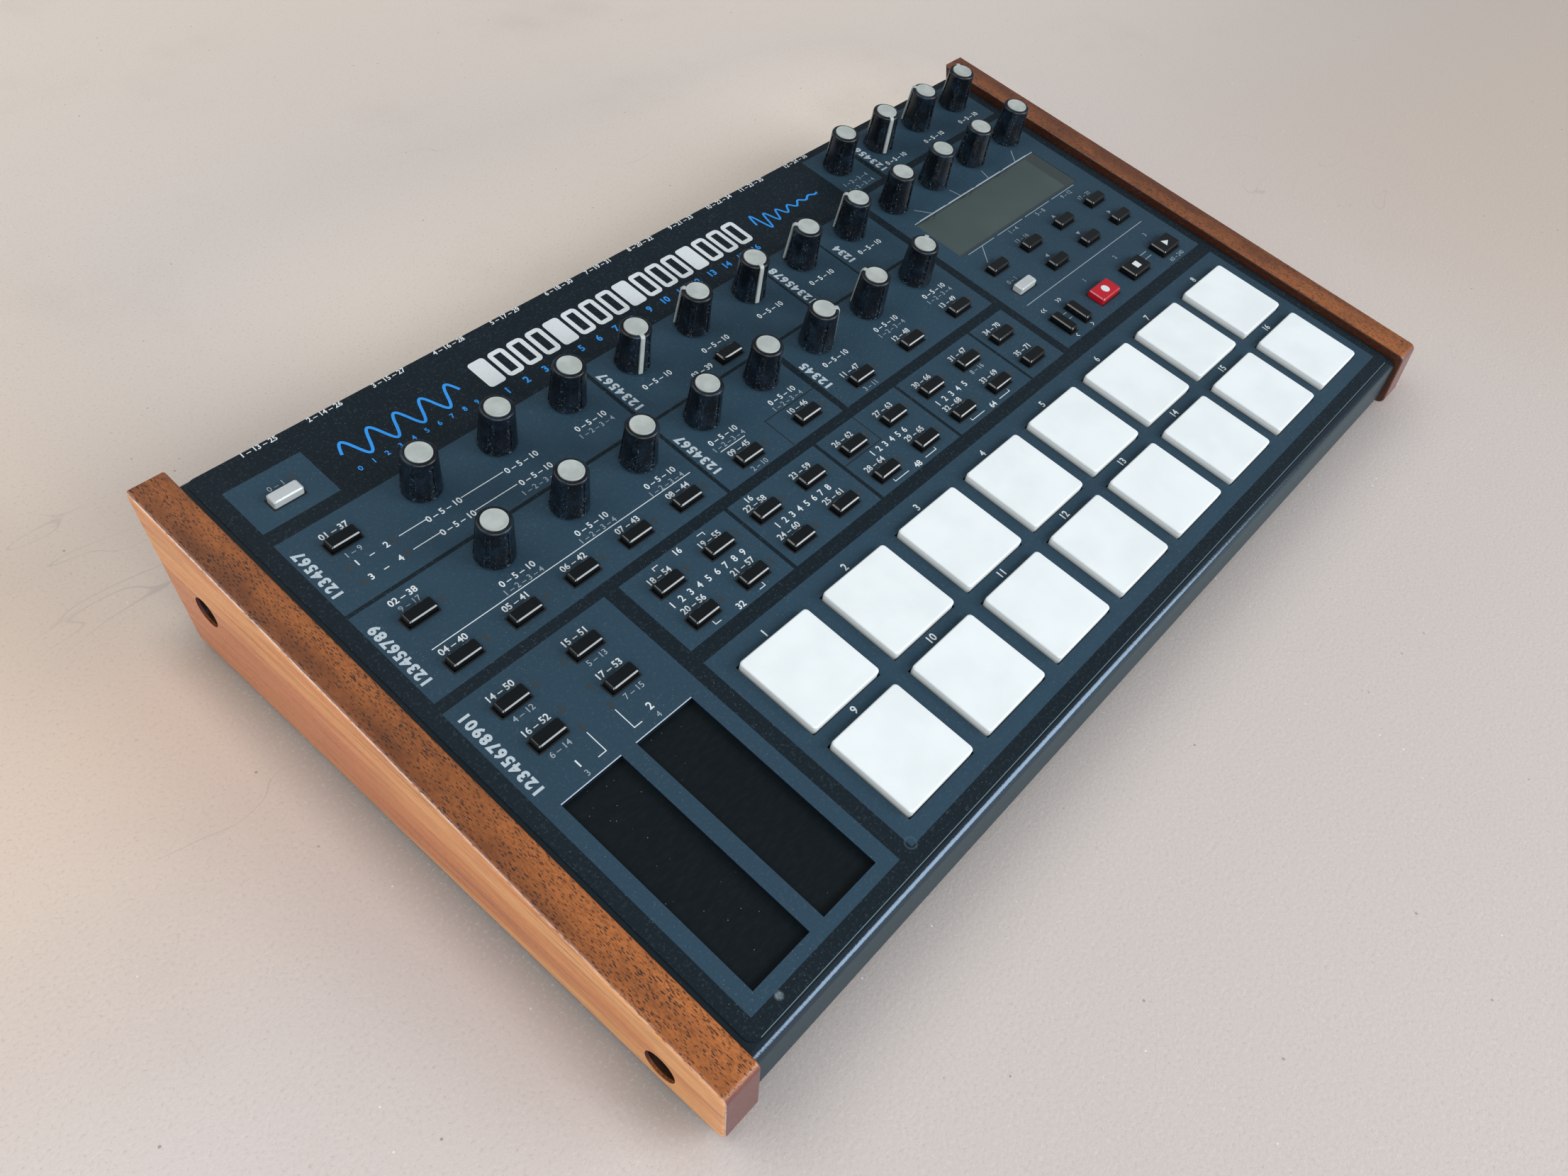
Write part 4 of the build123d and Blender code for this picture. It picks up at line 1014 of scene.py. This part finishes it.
def keyShape(width, height):
    # rounded rectangles: up the side, over a 45 degree bevel whose two edges are eased, then the flat top
    bevel, ease, top = keys["bevel"], keys["ease"], keys["top"]
    foot = top - bevel
    rows = [(0.0, keys["depth"]), (0.0, 0.0), (0.0, foot - ease), (ease * 0.3, foot - ease * 0.1)]
    rows += [(ease, foot + ease * 0.8), (bevel - ease * 0.8, top - ease)]
    rows += [(bevel + ease * 0.1, top - ease * 0.3), (bevel + ease, top)]
    rings = []
    for inset, w in rows:
        corner = max(keys["corner"] + (bevel - inset) * 0.3, 0.3)
        outline = roundedOutline(width - 2 * inset, height - 2 * inset, corner)
        rings.append(np.column_stack([outline, np.full(len(outline), w)]))
    return stackRings(np.stack(rings))


blackKeys = keyPaint("key_black", *keys["black"], gloss=0.06, shine=0.42)
paleKeys = keyPaint("key_pale", *keys["pale"], gloss=0.26)
redKeys = keyPaint("key_red", *keys["red"], gloss=0.22)
keyGroups = {
    # node: (places and size of each kind of key on it, material, slot)
    "edit_keys": ([(editKeys, keys["size"])], blackKeys, "key_plastic"),
    "bank_keys": ([(bankKeys, keys["size"])], blackKeys, "key_plastic"),
    "screen_keys": ([(screenKeys, keys["size"]), (skipKeys, keys["skipSize"])], blackKeys, "key_plastic"),
    "shift_keys": ([(shiftKeys, keys["size"])], paleKeys, "pale_plastic"),
    "record_key": ([([recordAt], keys["transportSize"])], redKeys, "record_plastic"),
    "stop_key": ([([stopAt], keys["transportSize"])], blackKeys, "key_plastic"),
    "play_key": ([([playAt], keys["transportSize"])], blackKeys, "key_plastic"),
}
for name, (kinds, material, slotName) in keyGroups.items():
    shapes = []
    for spots, size in kinds:
        points, faces = keyShape(*size)
        shapes += [(points + (x, y, 0), faces) for x, y in spots]
    points, faces = joinShapes(shapes)
    makePiece(name + "_caps", onPanel(points), faces, material, name + "_body", 32, [name])
print("keys made")


# print on the film: numerals, lines, symbols

ink = {
    "lift": 0.02,  # above the film
    "blackLift": 0.012,
    "keyShadeLift": 0.008,
    "cutLift": 0.014,
    "indicatorLift": 0.015,
    "markLift": 0.01,  # of the symbols above their keys
    "line": 0.28,
    "greyLine": 0.308,
    "blackLine": 0.45,
    "slotHighlightWidth": 0.3,
    "slotHighlightGap": 0.12,  # between a slot's edge and the middle of its painted highlight
    "chevronLine": 0.3,
    "wavePoints": 121,
    "discPoints": 40,
    "discRadius": 1.75,
    "capHeight": 0.73,  # of the built-in numerals, as a share of their size
    "titlePitch": 2.75,
    "spacedPitch": 3.6,
    "white": linear(205, 212, 214),
    "title": linear(172, 184, 192),
    "grey": linear(140, 152, 160),
    "blue": linear(38, 140, 222),
    # painted shade round the keys
    "keyShade": linear(5, 7, 8),
    "filmCut": linear(100, 122, 132),
    # painted highlight along the slots' far sides
    "slotHighlightTone": linear(176, 192, 206),
}
styles = {
    # numerals' height in millimetres, and how much bolder they are than the built-in ones
    "bright": (2.2, 0.02),
    "dim": (2.0, 0.006),
    "plain": (2.0, 0.0),
    "title": (3.3, 0.045),
    "spaced": (2.4, 0.015),
    "strip": (2.4, 0.02),
    "pad": (2.6, 0.02),
    "step": (2.7, 0.03),
    "fine": (1.9, 0.02),
}


def printPaint(name, colour, roughness=0.5):
    # screen ink: slightly uneven cover
    paint = Paint(name)
    cover = paint.noise(paint.object, 1400, 3, 0.6)
    dull = tuple(c * 0.72 for c in colour[:3]) + (1.0,)
    mixed = paint.mix(colour, dull, cover.ramp(0.5, 0.8) * 0.5)
    return paint.shade(mixed, cover * 0.1 + roughness, cover, depth=0.00002)


def glyphs(words, style):
    # built-in letters made a mesh: their points centred on the origin, with numerals of the style's height,
    # and their triangles
    height, bold = styles[style]
    curve = bpy.data.curves.new("numerals", "FONT")
    curve.body = words
    curve.offset = bold
    curve.resolution_u = 3
    holder = bpy.data.objects.new("numerals", curve)
    bpy.context.scene.collection.objects.link(holder)
    bpy.context.view_layer.update()
    mesh = bpy.data.meshes.new_from_object(holder.evaluated_get(bpy.context.evaluated_depsgraph_get()))
    mesh.calc_loop_triangles()
    points = np.empty(len(mesh.vertices) * 3)
    mesh.vertices.foreach_get("co", points)
    triangles = np.empty(len(mesh.loop_triangles) * 3, int)
    mesh.loop_triangles.foreach_get("vertices", triangles)
    bpy.data.objects.remove(holder)
    bpy.data.meshes.remove(mesh)
    points = points.reshape(-1, 3) * height / ink["capHeight"]
    middle = (points.min(0) + points.max(0)) / 2
    return points - (middle[0], height / 2, 0), triangles.reshape(-1, 3).tolist()


def ribbon(path, width, closed=False):
    # a flat strip along a path: each corner's offset is the mean of its two normals, longer by 1 / cos of
    # half the bend
    path = np.asarray(path, float)
    before, after = np.roll(path, 1, 0), np.roll(path, -1, 0)
    if not closed:
        before[0], after[-1] = 2 * path[0] - path[1], 2 * path[-1] - path[-2]
    runIn, runOut = path - before, after - path
    runIn /= np.linalg.norm(runIn, axis=1)[:, None]
    runOut /= np.linalg.norm(runOut, axis=1)[:, None]
    along = runIn + runOut
    along /= np.linalg.norm(along, axis=1)[:, None]
    normal = np.stack([-along[:, 1], along[:, 0]], -1)
    stretch = 1 / np.clip((along * runIn).sum(1), 0.3, 1)
    reach = normal * (stretch * width / 2)[:, None]
    count = len(path)
    points = np.concatenate([path - reach, path + reach])
    last = count if closed else count - 1
    faces = [[i, (i + 1) % count, (i + 1) % count + count, i + count] for i in range(last)]
    return np.column_stack([points, np.zeros(2 * count)]), faces


def patch(outline):
    # a flat face
    return np.column_stack([outline, np.zeros(len(outline))]), [list(range(len(outline)))]


def wave(start, length, middle, height, halfTurns, decay, width):
    # a line whose height is a sine of the share of the way, times e to the power of -decay times that share
    share = np.linspace(0, 1, ink["wavePoints"])
    up = middle + height * np.exp(-decay * share) * np.sin(share * np.pi * halfTurns)
    return ribbon(np.column_stack([start + length * share, up]) + origin, width)


def at(shape, u, v, degrees=0):
    # a shape turned and put at a place measured from the first pad
    points, faces = shape
    return turned(points, degrees) + (origin[0] + u, origin[1] + v, 0), faces


def layPrint(name, shapes, material, lift, body="chassis"):
    # flat shapes in panel millimetres, laid just above the film
    points, faces = joinShapes(shapes)
    makePiece(name, onPanel(points + (0, 0, lift)), faces, material, body, 0)


legends = {
    # places from the first pad's middle, millimetres
    # the scales under the knobs
    "dials": [
        (-38.5, 141.3), (-9.7, 141.3), (17.7, 140.7), (46.8, 140.7), (74.2, 140.7), (101.8, 140.8),
        (130, 141), (158, 141.3), (-38.5, 135.1), (-9.5, 135.1), (-38, 110.7), (-10, 110.6), (17.9, 110.5),
        (45.8, 110.4), (74, 110.4), (102, 110.6), (130, 110.8), (158.5, 110.9), (210, 170), (235.5, 170),
        (259.5, 170),
    ],
    "dialsDim": [
        (-10.5, 131.6), (17.7, 137.6), (-38, 107.7), (-10, 107.7), (17.9, 107.4), (45.8, 107.5),
        (74, 107.6), (130, 107.8), (158.5, 107.9), (185.2, 170.8), (185, 167.2),
    ],
    # two numbers beside each key
    "keys": [
        (-66, 154.5), (-66, 124.8), (61.5, 134.6), (-66, 104), (-44.8, 103.8), (-23.5, 103.7),
        (-2.4, 103.6), (18.5, 103.6), (45.8, 103.5), (74.3, 103.6), (101.5, 103.7), (130, 103.8),
        (158, 103.9), (-66.3, 84.8), (-40.5, 84.7), (-66.3, 71), (-40.5, 71), (-8.2, 84.3), (12.5, 84.2),
        (-8, 70.9), (12.6, 70.9), (33, 84.7), (54, 84.6), (33.2, 70.9), (54, 70.9), (75, 84.7), (96, 84.7),
        (75, 71), (96, 71), (117.5, 84.7), (138.5, 84.8), (117.3, 71), (138.8, 71), (159.8, 84.9),
        (160, 71.2),
    ],
    "keysDim": [
        (-66.2, 145.2), (46, 94.6), (101.7, 94.6), (-66.3, 75.8), (-40.5, 75.8), (-66.3, 61.7),
        (-40.3, 61.7), (138.5, 76), (-66, 121.7),
    ],
    # up the slope: across, from, to
    "titles": [
        (-78.5, 134.5, 154.5), (-78.5, 98, 122), (-78.5, 55, 86), (33.6, 134, 154), (33.6, 99.7, 119),
        (90, 102, 116), (117.5, 133, 155), (146.5, 139, 149), (200.3, 167, 184),
    ],
    # set wide: middle, up the slope, width
    "spaced": [(1.9, 74.5, 33), (44, 74.5, 27), (86.5, 74.4, 20), (121.3, 74.4, 19)],
    # three numbers over each socket
    "sockets": [-63.1, -41, -18, 5, 28, 51.3, 69.1, 89.5, 109.9, 130.2, 147.9, 173.6],
    "socketRow": 192.4,
    # single legends: across, up the slope, what stands there
    "bright": [
        (-68, 141.5, "1"), (-58.3, 141.5, "2"), (-68, 135.3, "3"), (-58.3, 135.3, "4"),
        (-63.2, 141.5, "–"), (-63.2, 135.3, "–"), (2, 87.2, "16"), (2.2, 61.8, "32"), (33, 87.2, "16"),
        (86.5, 61.9, "48"), (129, 61.9, "64"),
    ],
    "strips": [(-66, 55.5, "1"), (-40.5, 55.5, "2")],
    "plain": [
        (-66, 52, "3"), (-40.5, 52, "4"), (214, 113.3, "1 – 4"), (232.8, 113.3, "5 – 8"),
        (252, 113.4, "9 – 12"), (212.5, 108.2, "13 – 16"), (258, 108.3, "17 – 20"),
        (-68.4, 177.3, "0 – 1"), (188.3, 95.9, "0 – 1"), (258, 62.8, "60 – 240"), (212.5, 78.2, "1"),
        (235, 78.3, "2"), (258, 78.3, "3"),
    ],
    "padUp": 17,  # from a pad's middle to its number
    "underWave": (-46.6, 4.75, 168.2),  # ten numerals: start, pitch, row
    "arrows": [(235, 108.3, 0), (212.3, 95.7, 90), (235, 95.8, 180), (258, 95.7, 270)],  # with their turns
    "chevronsLeft": [(183.4, 78.1), (184.8, 78.1), (184, 62.4)],
    "chevronsRight": [(193.5, 78.1), (194.9, 78.1), (194.3, 62.4)],
}
white, grey, blue, titles = [], [], [], []
dialScale, dimScale = glyphs("0 – 5 – 10", "bright"), glyphs("1 – 2 – 3 – 4", "dim")
white += [at(dialScale, u, v) for u, v in legends["dials"]]
grey += [at(dimScale, u, v) for u, v in legends["dialsDim"]]
for number, (u, v) in enumerate(legends["keys"], 1):
    white.append(at(glyphs(f"{number:02d} – {number + 36}", "bright"), u, v))
for number, (u, v) in enumerate(legends["keysDim"], 1):
    grey.append(at(glyphs(f"{number} – {number + 8}", "dim"), u, v))
for u, low, high in legends["titles"]:
    count = max(2, round((high - low) / ink["titlePitch"]))
    for step in range(count):
        v = low + (high - low) * (step + 0.5) / count
        titles.append(at(glyphs(str((step + 1) % 10), "title"), u, v, degrees=90))
for u, v, wide in legends["spaced"]:
    count = round(wide / ink["spacedPitch"])
    for step in range(count):
        numeral = glyphs(str((step + 1) % 10), "spaced")
        white.append(at(numeral, u - wide / 2 + wide * (step + 0.5) / count, v))
for number, u in enumerate(legends["sockets"], 1):
    white.append(at(glyphs(f"{number} – {number + 12} – {number + 24}", "fine"), u, legends["socketRow"]))
white += [at(glyphs(words, "bright"), u, v) for u, v, words in legends["bright"]]
for number, (u, v) in enumerate(padSteps, 1):
    white.append(at(glyphs(str(number), "pad"), u, v + legends["padUp"]))
white += [at(glyphs(words, "strip"), u, v) for u, v, words in legends["strips"]]
grey += [at(glyphs(words, "plain"), u, v) for u, v, words in legends["plain"]]

lines = {
    "white": [
        [(-71.2, 106.1), (26.7, 106.1)], [(40.1, 105.8), (51.3, 105.8)], [(-53.9, 141.6), (-44.5, 141.6)],
        [(-32.1, 141.6), (-16.4, 141.6)], [(-53.9, 135.4), (-44.5, 135.4)],
        [(-32.1, 135.4), (-16.4, 135.4)], [(-58.2, 60.6), (-58.2, 53.3), (-61, 53.3)],
        [(-48.1, 60.6), (-48.1, 53.3), (-45.3, 53.3)], [(-8.1, 86.1), (-8.1, 87.3), (-5.9, 87.3)],
        [(10.3, 87.3), (12.7, 87.3), (12.7, 86.1)], [(-8.1, 63.2), (-8.1, 61.8), (-5.9, 61.8)],
        [(10.3, 61.8), (12.7, 61.8), (12.7, 63.2)], [(74.9, 62.9), (74.9, 61.9), (81.8, 61.9)],
        [(90.7, 61.9), (96.5, 61.9), (96.5, 62.9)], [(117.1, 62.9), (117.1, 61.9), (124.1, 61.9)],
        [(133, 61.9), (139.1, 61.9), (139.1, 62.9)],
    ],
    "grey": [
        [(181.4, 83.8), (264.5, 83.8)], [(186.4, 139.1), (202.7, 139.1)], [(205.1, 139.1), (221.7, 139.1)],
        [(223.9, 139.1), (240.5, 139.1)], [(242.8, 139.1), (259.5, 139.1)],
        [(194.3, 139.3), (189.6, 144.6)], [(213.2, 139.3), (212.2, 144.1)], [(232.6, 139.3), (234, 144)],
        [(251.7, 139.3), (256.4, 144.7)], [(186.3, 115.1), (203.2, 115.1)],
        [(205.6, 115.1), (222.6, 115.1)], [(224.6, 115.1), (241.8, 115.1)],
        [(243.8, 115.1), (260.2, 115.1)], [(195.1, 115), (188.9, 107.7)], [(244.5, 72.2), (249.3, 72.2)],
        [(244.5, 69.6), (249.3, 69.6)], [(188.4, 72.2), (190.9, 72.2)], [(188.4, 69.4), (190.9, 69.4)],
    ],
    "black": [[(60.95, 92.9), (60.95, 105.9), (85.0, 105.9)], [(85.3, 88.8), (85.3, 76.4), (66.8, 76.4)]],
}
white += [ribbon(np.array(path) + origin, ink["line"]) for path in lines["white"]]
grey += [ribbon(np.array(path) + origin, ink["greyLine"]) for path in lines["grey"]]
black = [ribbon(np.array(path) + origin, ink["blackLine"]) for path in lines["black"]]
arrow = patch(np.array([(-1.0, -0.75), (1.0, -0.75), (0, 0.9)]))
chevron = ribbon([(0.5, 0.8), (-0.4, 0), (0.5, -0.8)], ink["chevronLine"])
grey += [at(arrow, *place) for place in legends["arrows"]]
white += [at(chevron, u, v) for u, v in legends["chevronsLeft"]]
white += [at(chevron, u, v, degrees=180) for u, v in legends["chevronsRight"]]

steps = {
    "first": 6.6,
    "pitch": 7.72,
    "size": (6.4, 12.2),
    "middle": 176.0,
    "corner": 1.3,
    "rim": 1.7,
    "numerals": 166.2,
}
stepWide, stepHigh = steps["size"]
filled = patch(roundedOutline(stepWide, stepHigh, steps["corner"]))
middleLine = roundedOutline(stepWide - steps["rim"], stepHigh - steps["rim"], steps["corner"] * 0.7)
hollow = ribbon(middleLine, steps["rim"], closed=True)
for number in range(16):
    u = steps["first"] + steps["pitch"] * number
    white.append(at(hollow if number % 4 else filled, u, steps["middle"]))
    blue.append(at(glyphs(str(number + 1), "step"), u, steps["numerals"]))

waves = {
    # start, length, middle, height, half turns, decay, width of the line
    "left": (-47.5, 43, 175.4, 4.2, 9, 0, 0.95),
    "right": (132, 34, 174.6, 5.6, 12, 2.6, 0.8),
}
blue += [wave(*waves["left"]), wave(*waves["right"])]
start, pitch, v = legends["underWave"]
blue += [at(glyphs(str(number), "fine"), start + pitch * number, v) for number in range(10)]

# painted shade: a dark ring round each key, standing in for the shadow in the gap round it
keyShadeRings = []
shadeWidth, (shadeShiftX, shadeShiftY) = keys["keyShade"], keys["keyShadeShift"]
for kinds, _, _ in keyGroups.values():
    for spots, (width, height) in kinds:
        outline = roundedOutline(width + shadeWidth, height + shadeWidth, keys["keyShadeCorner"], steps=2)
        points, faces = ribbon(outline, shadeWidth, closed=True)
        keyShadeRings += [(points + (x + shadeShiftX, y + shadeShiftY, 0), faces) for x, y in spots]

# painted highlights: light lines along the far sides of the two strips' slots and the display's window, in
# place of their lit far walls
slots = [(-161.6, 44.4, 20.6, 65.5), (-135.7, 44.4, 20.6, 65.5), (128.3, 154.8, 80.6, 22.8)]
slotHighlightRibbons = []
for x, y, wide, long in slots:  # middle, width and length
    farSide = y + long / 2 + ink["slotHighlightGap"]
    slotHighlightRibbons.append(ribbon([(x - wide / 2, farSide), (x + wide / 2, farSide)], ink["slotHighlightWidth"]))
filmLow, filmHigh = (np.array(corner) * 1000 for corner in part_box("panel_film"))
inset = film["edgeLine"] / 2 + film["inset"]
filmFront = (filmLow[1] - panel["frontY"]) / math.cos(tilt) + inset
filmHalf = (filmHigh[0] - filmLow[0]) / 2 - inset - film["edgeEnd"]
filmEdge = ribbon([(-filmHalf, filmFront), (filmHalf, filmFront)], film["edgeLine"])

whiteInk = printPaint("ink_white", ink["white"])
layPrint("print_white", white, whiteInk, ink["lift"])
layPrint("print_titles", titles, printPaint("ink_title", ink["title"]), ink["lift"])
layPrint("print_grey", grey, printPaint("ink_grey", ink["grey"]), ink["lift"])
layPrint("print_blue", blue, printPaint("ink_blue", ink["blue"]), ink["lift"])
layPrint("print_black", black, printPaint("ink_black", film["black"]), ink["blackLift"])
# painted shade round the keys
keyShadePaint = printPaint("painted_key_shade", ink["keyShade"], roughness=0.7)
layPrint("painted_key_shade_rings", keyShadeRings, keyShadePaint, ink["keyShadeLift"])
layPrint("film_edge", [filmEdge], printPaint("film_cut", ink["filmCut"], roughness=0.4), ink["cutLift"])
# painted highlights along the slots' far sides
layPrint("painted_slot_highlights", slotHighlightRibbons, printPaint("painted_edge_highlight", ink["slotHighlightTone"], roughness=0.4), ink["cutLift"])

indicators = {
    "size": (1.2, 2.6),
    "corner": 0.15,
    "lone": [(-70.6, 141.6), (-55.8, 141.4), (-70.6, 135.3), (-55.8, 135.3), (-62.6, 177.7), (-58.4, 117.4)],
    "columns": (-58.2, -48.1),
    "rows": (80.3, 70.1, 62.4),
    "beside": (8.1, 0.6),  # from a key's middle to its indicator
    "smoke": (linear(46, 54, 58), linear(38, 46, 52)),
}
besideX, besideY = indicators["beside"]
indicatorAt = indicators["lone"] + [(u, v) for u in indicators["columns"] for v in indicators["rows"]]
indicatorAt += [(x - origin[0] + besideX, y - origin[1] + besideY) for x, y in editKeys[3:] + bankKeys[4:]]
window = patch(roundedOutline(*indicators["size"], indicators["corner"], steps=2))
windows = [at(window, u, v) for u, v in indicatorAt]
smoke = keyPaint("lamp_window", *indicators["smoke"], gloss=0.3)
layPrint("lamp_windows", windows, smoke, ink["indicatorLift"])

discTurns = np.linspace(0, 2 * np.pi, ink["discPoints"], endpoint=False)
disc = ink["discRadius"] * np.stack([np.cos(discTurns), np.sin(discTurns)], -1)
marks = {
    # key: (outline of its symbol, place)
    "record_key": (disc, recordAt),
    "stop_key": (roundedOutline(3.0, 3.0, 0.25), stopAt),
    "play_key": (np.array([(-1.5, -1.6), (1.8, 0), (-1.5, 1.6)]), playAt),
}
for name, (outline, place) in marks.items():
    mark, lift, slotName = patch(outline + place), keys["top"] + ink["markLift"], keyGroups[name][2]
    layPrint(name + "_mark", [mark], whiteInk, lift, name + "_body")
print("print laid")


# rear

rear = {
    "sockets": (linear(20, 22, 23), linear(34, 36, 37)),
    "rocker": (linear(16, 17, 18), linear(30, 31, 32)),
}
socketPlastic = keyPaint("socket_black", *rear["sockets"], gloss=0.34)
rockerPlastic = keyPaint("rocker_black", *rear["rocker"], gloss=0.24)
smoothCopy("rear_sockets", socketPlastic, "chassis", smooth=30)
smoothCopy("power_rocker", rockerPlastic, "rocker", smooth=30)
print("rear finished")
